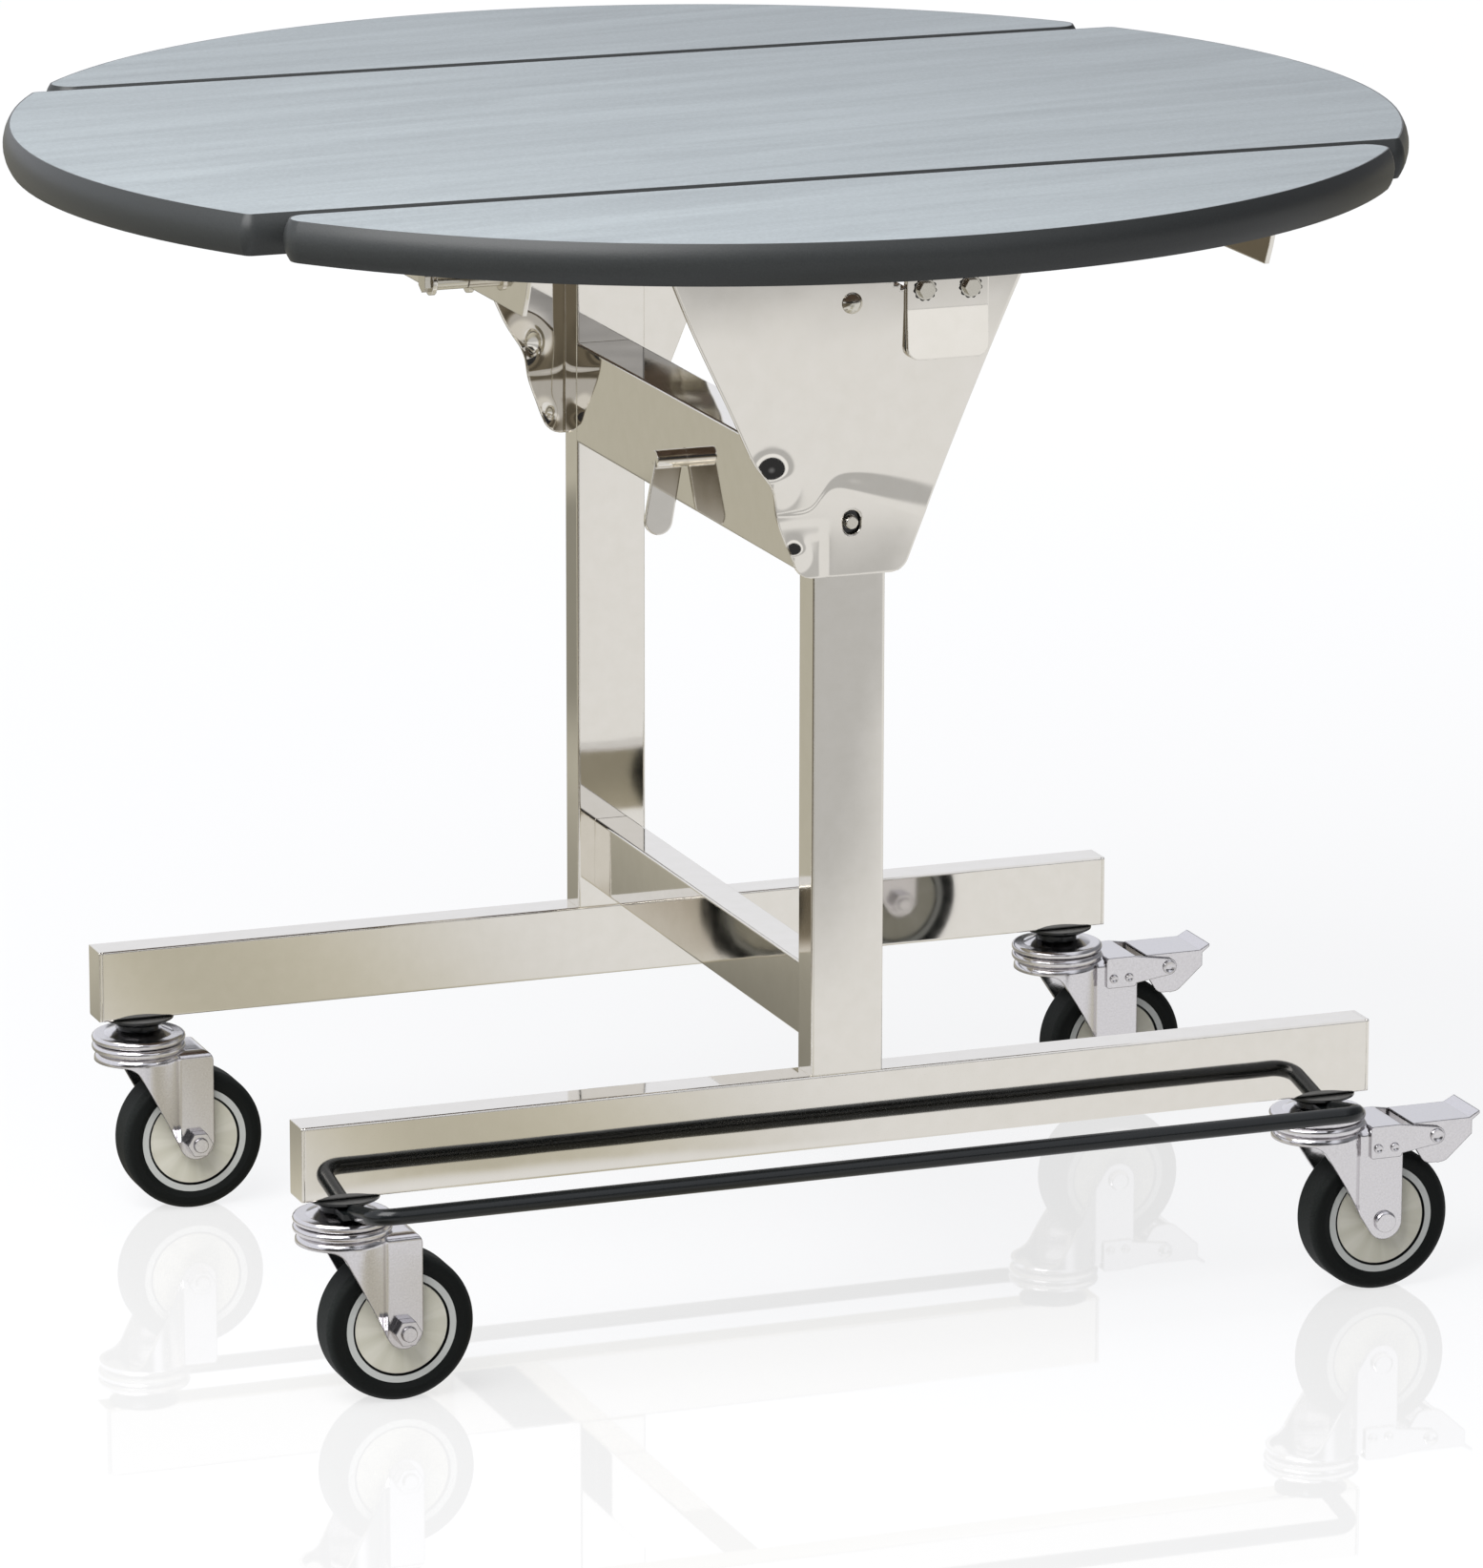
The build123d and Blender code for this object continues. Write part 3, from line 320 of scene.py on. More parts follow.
def black_tyre_rubber(corner):
    """Moulded black rubber, dull, with a fine mould line round its side wall and a dusty, worn tread."""
    line_radius, line_half_width = 44.5 * mm, 0.4 * mm
    wall_radius, tread_radius = 46.5 * mm, 49.5 * mm
    # The real pores are finer and are drawn coarse enough to show
    pore_length, pore_share = 1.4 * mm, 0.12
    material, tree, place = new_material(f"black_tyre_rubber_{corner}")
    pore = add(tree, "ShaderNodeTexNoise", {"Vector": place, "Scale": 1 / pore_length, "Detail": 2.0})
    radius, _ = round_the_axle(tree, place, corner)
    line = {0: radius, 1: line_radius, 2: line_half_width}
    line = add(tree, "ShaderNodeMath", line, operation="COMPARE")
    relief = add(tree, "ShaderNodeMath", {0: pore, 1: pore_share, 2: line}, operation="MULTIPLY_ADD")
    bump = add(tree, "ShaderNodeBump", {"Height": relief, "Strength": 0.6, "Distance": 0.6 * mm})
    worn = {"Value": radius, "From Min": wall_radius, "From Max": tread_radius}
    worn = add(tree, "ShaderNodeMapRange", worn)
    dust = add(tree, "ShaderNodeMath", {0: worn, 1: pore}, operation="MULTIPLY")
    base = {"Factor_Float": dust, "A_Color": colour("#1A1C1B"), "B_Color": colour("#323534")}
    base = add(tree, "ShaderNodeMix", base, "Result_Color", data_type="RGBA")
    rough = add(tree, "ShaderNodeMapRange", {"Value": worn, "To Min": 0.42, "To Max": 0.60})
    rubber = {"Base Color": base, "Roughness": rough, "Specular IOR Level": 0.07, "Normal": bump}
    shader = add(tree, "ShaderNodeBsdfPrincipled", rubber)
    add(tree, "ShaderNodeOutputMaterial", {"Surface": shader})
    return material


for corner in corners:
    dress(moulded_wheel_centre(corner), f"{corner}_wheel_hub")
    dress(black_tyre_rubber(corner), f"{corner}_tyre")


# Tilting head
# Turned stainless bolts through the posts carry the head. The upper beam holds the guides and springs
# of the lock pins, and a small lever of the polished steel on its side draws the pins in.


def bright_turned_steel():
    """Turned and cold headed stainless: bright metal, fine tool marks, edges rounded by barrelling."""
    # The real tool marks are finer and are drawn coarse enough to show
    mark_length = 1.2 * mm
    edge_radius = 0.6 * mm
    material, tree, place = new_material("bright_turned_steel")
    mark = add(tree, "ShaderNodeTexNoise", {"Vector": place, "Scale": 1 / mark_length, "Detail": 2.0})
    rough = add(tree, "ShaderNodeMapRange", {"Value": mark, "To Min": 0.10, "To Max": 0.22})
    edge = add(tree, "ShaderNodeBevel", {"Radius": edge_radius}, samples=4)
    turned = {"Base Color": colour("#D6D2C7"), "Metallic": 1.0, "Roughness": rough, "Normal": edge}
    shader = add(tree, "ShaderNodeBsdfPrincipled", turned)
    add(tree, "ShaderNodeOutputMaterial", {"Surface": shader})
    return material


turned_steel = bright_turned_steel()
dress(turned_steel, "tilt_pivot_bolts", "lock_guides", "lock_springs")
dress(polished_steel, "release_lever")


# Gusset plates
# Two plates of the polished sheet, rolled over at the top into a flange that is screwed under the
# centre board, and pressed with a shallow joggle over the lock pin. Their sizes are in millimetres.

plate_top, plate_foot, plate_bend = 760.0, 525.0, 4.0


def soft_step(value, start, end):
    """Smooth step s = t * t * (3 - 2 t) of t, which runs from 0 at start to 1 at end."""
    part = np.clip((value - start) / (end - start), 0, 1)
    return part * part * (3 - 2 * part)


def rise(value, middle, reach):
    """Rise 1 / (1 + exp(-t)) from 0 to 1, where t is the distance past its middle in reaches."""
    return 1 / (1 + np.exp(-(value - middle) / reach))


def slope(value, start, reach):
    """Slope log(1 + exp(t)) that begins softly, where t is the distance past its start in reaches."""
    return np.log1p(np.exp((value - start) / reach))


def bell(value, middle, reach):
    """Bell exp(-t * t), where t is the distance from its middle in reaches."""
    return np.exp(-(((value - middle) / reach) ** 2))


def gusset_relief(x, z):
    """Height that the pressing stands proud at x, z: a soft step between the joggle's two bend lines,
    each of them a rise less a slope, and the two bells and the fold of the bent left edge."""
    # A pair is a middle or a start with its reach, or the start and the end of a soft step
    upper_left, upper_rise, upper_fall = 570.0, 25.0, 2.2
    upper_rises_at, upper_falls_from = (-19.5, 3.8), (20.0, 10.0)
    lower_left, lower_rise, lower_fall = 569.0, 14.0, 2.0
    lower_rises_at, lower_falls_from = (-21.5, 3.5), (-8.0, 5.0)
    left_depth, added_depth, deepens_at, least_bend = 0.2, 0.6, (-6.0, 6.0), 3.0
    ear_height, ear_x, ear_z = 2.9, (-55.0, 11.0), (590.0, 12.0)
    toe_height, toe_x, toe_z = 1.6, (-40.0, 7.0), (540.0, 7.0)
    fold_height, fold_x, fold_z = 0.35, (-13.0, -24.0), (564.0, 549.0)
    upper = upper_left + upper_rise * rise(x, *upper_rises_at) - upper_fall * slope(x, *upper_falls_from)
    lower = lower_left + lower_rise * rise(x, *lower_rises_at) - lower_fall * slope(x, *lower_falls_from)
    depth = left_depth + added_depth * rise(x, *deepens_at)
    joggle = depth * soft_step(z, upper, np.minimum(lower, upper - least_bend))
    ear = ear_height * bell(x, *ear_x) * bell(z, *ear_z)
    toe = toe_height * bell(x, *toe_x) * bell(z, *toe_z)
    fold = fold_height * soft_step(x, *fold_x) * soft_step(z, *fold_z)
    return joggle + ear + toe + fold


def gusset_grid():
    """Plain plate in rows up its face, round the bend and in along the flange: x = u * half width(z)
    for u from -1 to 1, less a waist and with a swell on the left, z upward and the way in from its face."""
    top_half, foot_half, edge_sag, foot_radius = 138.0, 36.0, 2.5, 8.0
    waist, waist_z, swell, swell_z = 5.0, (584.0, 14.0), 3.0, (690.0, 50.0)
    flange_start, flange_width = 6.0, 28.0
    pressed_top, row_step = 612.0, 1.0
    plain_rows, bend_rows, flange_rows, columns = 50, 6, 9, 141
    straight_top = plate_top - plate_bend
    pressed = np.arange(plate_foot, pressed_top, row_step)
    plain = np.linspace(pressed_top, straight_top, plain_rows)
    turn = np.linspace(0, pi / 2, bend_rows + 1)[1:]
    bend = straight_top + plate_bend * np.sin(turn)
    z = np.concatenate([pressed, plain, bend, np.full(flange_rows, plate_top)])
    flat = np.zeros(len(pressed) + plain_rows)
    flange = np.linspace(flange_start, flange_width, flange_rows)
    inward = np.concatenate([flat, plate_bend * (1 - np.cos(turn)), flange])
    up = (z - plate_foot) / (plate_top - plate_foot)
    half = foot_half + (top_half - foot_half) * up - 4 * edge_sag * up * (1 - up)
    below = np.clip(foot_radius - (z - plate_foot), 0, foot_radius)
    half -= foot_radius - np.sqrt(foot_radius**2 - below**2)
    left_half = half - (waist * bell(z, *waist_z) - swell * bell(z, *swell_z))
    u = np.linspace(-1, 1, columns)
    x = np.where(u < 0, u * left_half[:, None], u * half[:, None])
    return x, np.broadcast_to(z[:, None], x.shape), np.broadcast_to(inward[:, None], x.shape)


def cell_middles(grid):
    """Middle of each cell of a grid, halfway between two opposite corners."""
    return (grid[:-1, :-1] + grid[1:, 1:]) / 2


def cell_corners(cells):
    """Which points of a grid are a corner of a marked cell."""
    around = np.pad(cells, 1)
    return around[:-1, :-1] | around[1:, :-1] | around[:-1, 1:] | around[1:, 1:]


def cut_pin_slot(x, z):
    """Mark the cells in the lock pin's upright slot, and draw the points round them to its rounded edge."""
    height, half_width, half_straight, least = 560.0, 6.25, 1.75, 1e-6
    low, high = height - half_straight, height + half_straight
    cell_x, cell_z = cell_middles(x), cell_middles(z)
    inside = np.hypot(cell_x, cell_z - np.clip(cell_z, low, high)) < half_width
    edge = cell_corners(inside)
    nearest = np.clip(z, low, high)
    reach = np.maximum(np.hypot(x, z - nearest), least)
    x = np.where(edge, x * half_width / reach, x)
    z = np.where(edge, nearest + (z - nearest) * half_width / reach, z)
    return x, z, inside


def cut_notch(x, z):
    """Mark the cells in the notch beside the catch plate, and draw the points round them to its sides and
    its sill, which falls from left to right."""
    left, right, sill_right, sill_fall = 16.5, 36.5, 712.0, 11.0

    def sill(x):
        """Height of the sill: sill_right + sill_fall * (right - x) / (right - left)."""
        return sill_right + sill_fall * (right - x) / (right - left)

    cell_x, cell_z = cell_middles(x), cell_middles(z)
    inside = (cell_x > left) & (cell_x < right) & (cell_z > sill(cell_x))
    gaps = np.stack([np.abs(x - left), np.abs(x - right), np.abs(z - sill(x))])
    closest = np.where(cell_corners(inside), gaps.argmin(axis=0), -1)
    z = np.where(closest == 2, sill(x), z)
    x = np.where(closest == 0, left, np.where(closest == 1, right, x))
    return x, z, inside


def gusset_plate(side, outward):
    """Pressed plate: y = outward * (face - inward + relief(x, z)) on its grid, less the slot and the notch,
    given the sheet's thickness inward."""
    middle, face, sheet = 10.0, 243.0, 2.3
    x, z, inward = gusset_grid()
    x, z, slot = cut_pin_slot(x, z)
    x, z, notch = cut_notch(x, z)
    y = outward * (face - inward + gusset_relief(x, z) * (z < plate_top - plate_bend))
    rows, columns = x.shape
    first = (np.arange(rows - 1)[:, None] * columns + np.arange(columns - 1))[~(slot | notch)]
    quads = np.stack([first, first + 1, first + columns + 1, first + columns], axis=-1)[:, ::-outward]
    points = np.stack([x + middle, y, z], axis=-1).reshape(-1, 3) * mm
    mesh = bpy.data.meshes.new(f"{side}_gusset_pressing")
    mesh.from_pydata(points.tolist(), [], quads.tolist())
    mesh.polygons.foreach_set("use_smooth", np.full(len(quads), True))
    piece = new_piece(mesh, polished_steel, "top")
    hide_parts(f"{side}_gusset_plate")
    wall = piece.modifiers.new("sheet", "SOLIDIFY")
    wall.thickness = sheet * mm
    wall.offset = -1.0


for side, outward in sides.items():
    gusset_plate(side, outward)


# Lock pins
# Turned stainless pins stand in the gusset plates' slots and hold the top level. Each has a rounded tip,
# and a flat black ring round it in the post's face is painted shade, seen through the slot.

dress(turned_steel, *[f"{side}_lock_pin" for side in sides])


def lock_pin_tip(side, outward):
    """Pin end through the gusset's slot, turned about Y from a straight profile with a rounded rim."""
    proud, radius, rim, rim_rings = 1.2 * mm, 4.4 * mm, 1.0 * mm, 6
    low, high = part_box(f"{side}_lock_pin")
    plate_low, plate_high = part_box(f"{side}_gusset_plate")
    start, end = (low.y, plate_low.y - proud) if outward < 0 else (high.y, plate_high.y + proud)
    turn = np.linspace(0, pi / 2, rim_rings)
    radii = np.concatenate([[radius], radius - rim * (1 - np.cos(turn))])
    heights = np.concatenate([[start], end - outward * rim * (1 - np.sin(turn))])
    tip = turned_about_y((low.x + high.x) / 2, (low.z + high.z) / 2, radii, heights, outward)
    return closed_turnings([tip], f"{side}_lock_pin_tip")


def lock_pin_slot_shade(side, outward):
    """Flat ring round the pin in the post's face, painted shade seen through the gusset's slot:
    (x + r sin t, h, z + r cos t) round its section r, h.
    """
    inner, outer, proud, steps = 4.7 * mm, 10.5 * mm, 0.25 * mm, 48
    low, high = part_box(f"{side}_lock_pin")
    post_low, post_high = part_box(f"{side}_post")
    face = post_low.y if outward < 0 else post_high.y
    radii = np.array([inner, outer, outer, inner])
    heights = face + outward * proud * np.array([-1.0, -1.0, 1.0, 1.0])
    turn = np.linspace(0, 2 * pi, steps, endpoint=False)[:, None]
    across = (low.x + high.x) / 2 + radii * np.sin(turn)
    upward = (low.z + high.z) / 2 + radii * np.cos(turn)
    return np.stack([across, np.broadcast_to(heights, across.shape), upward], axis=-1)[::-outward]


def closed_rings(rings, name):
    """Mesh of rings, each of sections joined round, with each section's points joined round as well."""
    faces, start = [], 0
    for ring in rings:
        steps, count = ring.shape[:2]
        across, around = np.meshgrid(np.arange(count), np.arange(steps))
        next_across, next_around = (across + 1) % count, (around + 1) % steps
        quads = [around * count + across, around * count + next_across]
        quads += [next_around * count + next_across, next_around * count + across]
        faces += (start + np.stack(quads, axis=-1).reshape(-1, 4)).tolist()
        start += steps * count
    mesh = bpy.data.meshes.new(name)
    mesh.from_pydata(np.concatenate([ring.reshape(-1, 3) for ring in rings]).tolist(), [], faces)
    return mesh


for side, outward in sides.items():
    new_piece(lock_pin_tip(side, outward), turned_steel, f"{side}_lock")
    # Painted shade: a black ring in the post's face, seen round the pin through the gusset's slot
    slot_shade = closed_rings([lock_pin_slot_shade(side, outward)], f"{side}_lock_pin_slot_shade")
    new_piece(slot_shade, black_nylon, "base")


# Catch plates
# Bent plates of the polished steel keep the leaves level. Each is held to its gusset plate by two turned
# bolts over washers; a thin black toothed ring round each washer is painted dark reflection and shade.

dress(polished_steel, *[f"{side}_catch_plate" for side in sides])
dress(turned_steel, "catch_plate_bolts")


def washer_rim_shade():
    """Grey black, dull, faintly mottled: painted dark reflection and shade round the bolts' washers."""
    # The mottle is drawn coarse enough to show
    mottle_length = 1.5 * mm
    material, tree, place = new_material("washer_rim_shade")
    mottle = add(tree, "ShaderNodeTexNoise", {"Vector": place, "Scale": 1 / mottle_length, "Detail": 2.0})
    base = {"Factor_Float": mottle, "A_Color": colour("#1C1D1D"), "B_Color": colour("#37383A")}
    base = add(tree, "ShaderNodeMix", base, "Result_Color", data_type="RGBA")
    rough = add(tree, "ShaderNodeMapRange", {"Value": mottle, "To Min": 0.40, "To Max": 0.58})
    shader = add(tree, "ShaderNodeBsdfPrincipled", {"Base Color": base, "Roughness": rough})
    add(tree, "ShaderNodeOutputMaterial", {"Surface": shader})
    return material


def toothed_shade_ring(x, outward):
    """Thin toothed ring round a washer under a bolt head, painted dark reflection and shade:
    outer radius r + a cos(n t), round its flat section.
    """
    inner, outer, tooth, teeth, steps_per_tooth = 6.9 * mm, 7.5 * mm, 0.5 * mm, 11, 12
    height, face, sunk, sheet = 710 * mm, 246 * mm, 0.05 * mm, 0.7 * mm
    turn = np.linspace(0, 2 * pi, steps_per_tooth * teeth, endpoint=False)
    wide = outer + tooth * np.cos(teeth * turn)
    narrow = np.full_like(wide, inner)
    radii = np.stack([narrow, wide, wide, narrow], axis=-1)
    heights = outward * (face + np.array([-sunk, -sunk, sheet, sheet]))
    across = x + radii * np.sin(turn)[:, None]
    upward = height + radii * np.cos(turn)[:, None]
    return np.stack([across, np.broadcast_to(heights, across.shape), upward], axis=-1)[::-outward]


catch_bolt_places = (59.0 * mm, 90.5 * mm)
rim_shade_black = washer_rim_shade()
for side, outward in sides.items():
    # Painted dark reflection and shade: thin black toothed rings round the catch bolts' washers
    shade_rings = [toothed_shade_ring(x, outward) for x in catch_bolt_places]
    shade_rings = closed_rings(shade_rings, f"{side}_catch_shade_rings")
    new_piece(shade_rings, rim_shade_black, "top")


# Leaf hinges
# Folded brackets of the polished steel under the centre board, and arms of it under the leaves,
# pivot on turned bolts with spacers.

dress(polished_steel, "leaf_hinge_brackets", *[f"{side}_leaf_arms" for side in sides])
dress(turned_steel, "leaf_hinge_bolts")


# Round top
# Particle board with a blue grey laminate on top, a brown backing sheet below and a charcoal
# moulded edge, cut along two chords so that the leaves can fold.


def blue_grey_laminate():
    """High pressure laminate: satin blue grey print with a fine mottle and wispy streaks near to X."""
    grain_length = 2.4 * mm
    streak_length, streak_width = 260 * mm, 22 * mm
    streak_turn = radians(-8)
    material, tree, place = new_material("blue_grey_laminate")
    grain = add(tree, "ShaderNodeTexNoise", {"Vector": place, "Scale": 1 / grain_length, "Detail": 2.0})
    turned = add(tree, "ShaderNodeMapping", {"Vector": place, "Rotation": (0.0, 0.0, streak_turn)})
    stretch = (1 / streak_length, 1 / streak_width, 1.0)
    streak = add(tree, "ShaderNodeMapping", {"Vector": turned, "Scale": stretch})
    streak = {"Vector": streak, "Scale": 1.0, "Detail": 4.0, "Distortion": 0.6}
    streak = add(tree, "ShaderNodeTexNoise", streak)
    print_depth = add(tree, "ShaderNodeMath", {0: grain, 1: streak}, operation="ADD")
    print_depth = {"Value": print_depth, "From Min": 0.65, "From Max": 1.35}
    print_depth = add(tree, "ShaderNodeMapRange", print_depth)
    print_colour = {"Factor_Float": print_depth, "A_Color": colour("#838A8D"), "B_Color": colour("#9EA6A9")}
    print_colour = add(tree, "ShaderNodeMix", print_colour, "Result_Color", data_type="RGBA")
    rough = add(tree, "ShaderNodeMapRange", {"Value": grain, "To Min": 0.34, "To Max": 0.46})
    bump = add(tree, "ShaderNodeBump", {"Height": grain, "Strength": 0.15, "Distance": 0.1 * mm})
    sheet = {"Base Color": print_colour, "Roughness": rough, "Specular IOR Level": 0.36, "Normal": bump}
    shader = add(tree, "ShaderNodeBsdfPrincipled", sheet)
    add(tree, "ShaderNodeOutputMaterial", {"Surface": shader})
    return material


def charcoal_edge_moulding():
    """Moulded polyurethane edge: charcoal, satin, with the mould's fine grain."""
    # The real grain is finer and is drawn coarse enough to show
    grain_length = 1.1 * mm
    material, tree, place = new_material("charcoal_moulded_polyurethane")
    grain = add(tree, "ShaderNodeTexNoise", {"Vector": place, "Scale": 1 / grain_length, "Detail": 2.0})
    rough = add(tree, "ShaderNodeMapRange", {"Value": grain, "To Min": 0.32, "To Max": 0.44})
    bump = add(tree, "ShaderNodeBump", {"Height": grain, "Strength": 0.25, "Distance": 0.2 * mm})
    base = {"Factor_Float": grain, "A_Color": colour("#2C2E2E"), "B_Color": colour("#383A3A")}
    base = add(tree, "ShaderNodeMix", base, "Result_Color", data_type="RGBA")
    edge = {"Base Color": base, "Roughness": rough, "Specular IOR Level": 0.35, "Normal": bump}
    shader = add(tree, "ShaderNodeBsdfPrincipled", edge)
    add(tree, "ShaderNodeOutputMaterial", {"Surface": shader})
    return material


def brown_backing_sheet():
    """Phenolic backing sheet under particle board: dull brown kraft fibre under resin."""
    # The real fibres are finer and are drawn coarse enough to show
    fibre_length, fibre_width = 20 * mm, 1.5 * mm
    material, tree, place = new_material("brown_backing_sheet")
    stretch = (1 / fibre_length, 1 / fibre_width, 1 / fibre_width)
    fibre = add(tree, "ShaderNodeMapping", {"Vector": place, "Scale": stretch})
    fibre = add(tree, "ShaderNodeTexNoise", {"Vector": fibre, "Scale": 1.0, "Detail": 3.0})
    base = {"Factor_Float": fibre, "A_Color": colour("#5C4839"), "B_Color": colour("#7A6452")}
    base = add(tree, "ShaderNodeMix", base, "Result_Color", data_type="RGBA")
    rough = add(tree, "ShaderNodeMapRange", {"Value": fibre, "To Min": 0.45, "To Max": 0.62})
    shader = add(tree, "ShaderNodeBsdfPrincipled", {"Base Color": base, "Roughness": rough, "IOR": 1.5})
    add(tree, "ShaderNodeOutputMaterial", {"Surface": shader})
    return material


boards = ("centre_board", "near_leaf", "far_leaf")
dress(blue_grey_laminate(), *[f"{board}_laminate" for board in boards])
dress(charcoal_edge_moulding(), *[f"{board}_edge" for board in boards])
dress(brown_backing_sheet(), *[f"{board}_core" for board in boards])


# Screws of the top
# Pan head steel screws with a cross recess, driven up through the flanges of the hinges and gusset
# plates into the boards. They show when the top is tilted.


def pan_head(x, y, start):
    """Head at x, y under a flange, on rings of radius r: z = start - height * (1 - k * (r / radius) ** 4),
    where k is its round share, and a cross recess of two soft slots cut up into it."""
    radius, height, sunk, round_share, core = 4.2 * mm, 2.1 * mm, 0.2 * mm, 0.55, 0.2 * mm
    recess_half, recess_reach, recess_depth = 0.7 * mm, 2.4 * mm, 1.3 * mm
    side_softness, end_softness = 0.4, 0.3
    steps, rings = 48, 15
    turn = np.linspace(0, 2 * pi, steps, endpoint=False)
    ring = np.linspace(core, radius, rings)[:, None]
    across, along = np.abs(ring * np.cos(turn)), np.abs(ring * np.sin(turn))
    outer_side, inner_side = (1 + side_softness) * recess_half, (1 - side_softness) * recess_half
    narrow = [soft_step(way, outer_side, inner_side) for way in (across, along)]
    within = [soft_step(way, recess_reach, (1 - end_softness) * recess_reach) for way in (along, across)]
    cut = np.maximum(narrow[0] * within[0], narrow[1] * within[1])
    z = start - height * (1 - round_share * (ring / radius) ** 4) + recess_depth * cut
    z = np.concatenate([z, np.full((1, steps), start + sunk)])
    ring = np.concatenate([ring, [[radius]]])
    return np.stack([x + ring * np.cos(turn), y + ring * np.sin(turn), z], axis=-1)


hinge_flange, gusset_flange = 757.0 * mm, 757.7 * mm
arm_screws = [(x * mm, y * mm) for x in (-264, 264) for y in (277, 308, 339)]
bracket_screws = [(x * mm, y * mm) for x in (-262, 262) for y in (174, 195, 216)]
gusset_screws = [(x * mm, 228 * mm) for x in (-100, -55, 75, 120)]
board_screws = []
for side, outward in sides.items():
    leaf_screws = [pan_head(x, outward * y, hinge_flange) for x, y in arm_screws]
    leaf_screws = closed_turnings(leaf_screws, f"{side}_leaf_screws")
    new_piece(leaf_screws, turned_steel, f"{side}_leaf")
    board_screws += [pan_head(x, outward * y, hinge_flange) for x, y in bracket_screws]
    board_screws += [pan_head(x, outward * y, gusset_flange) for x, y in gusset_screws]
new_piece(closed_turnings(board_screws, "centre_board_screws"), turned_steel, "top")


# Studio
# A wide white floor, a white surround with a dark room on the camera's side, and a large softbox at
# the upper left. The camera finds the floor plain white; to mirrors it glows with painted light and shade.


def seen_by(tree):
    """Whether a ray is the camera's, and whether it is a mirrored or see-through one."""
    path = tree.nodes.new("ShaderNodeLightPath").outputs
    mirror = {0: path["Is Glossy Ray"], 1: path["Is Transmission Ray"]}
    return path["Is Camera Ray"], add(tree, "ShaderNodeMath", mirror, operation="MAXIMUM")


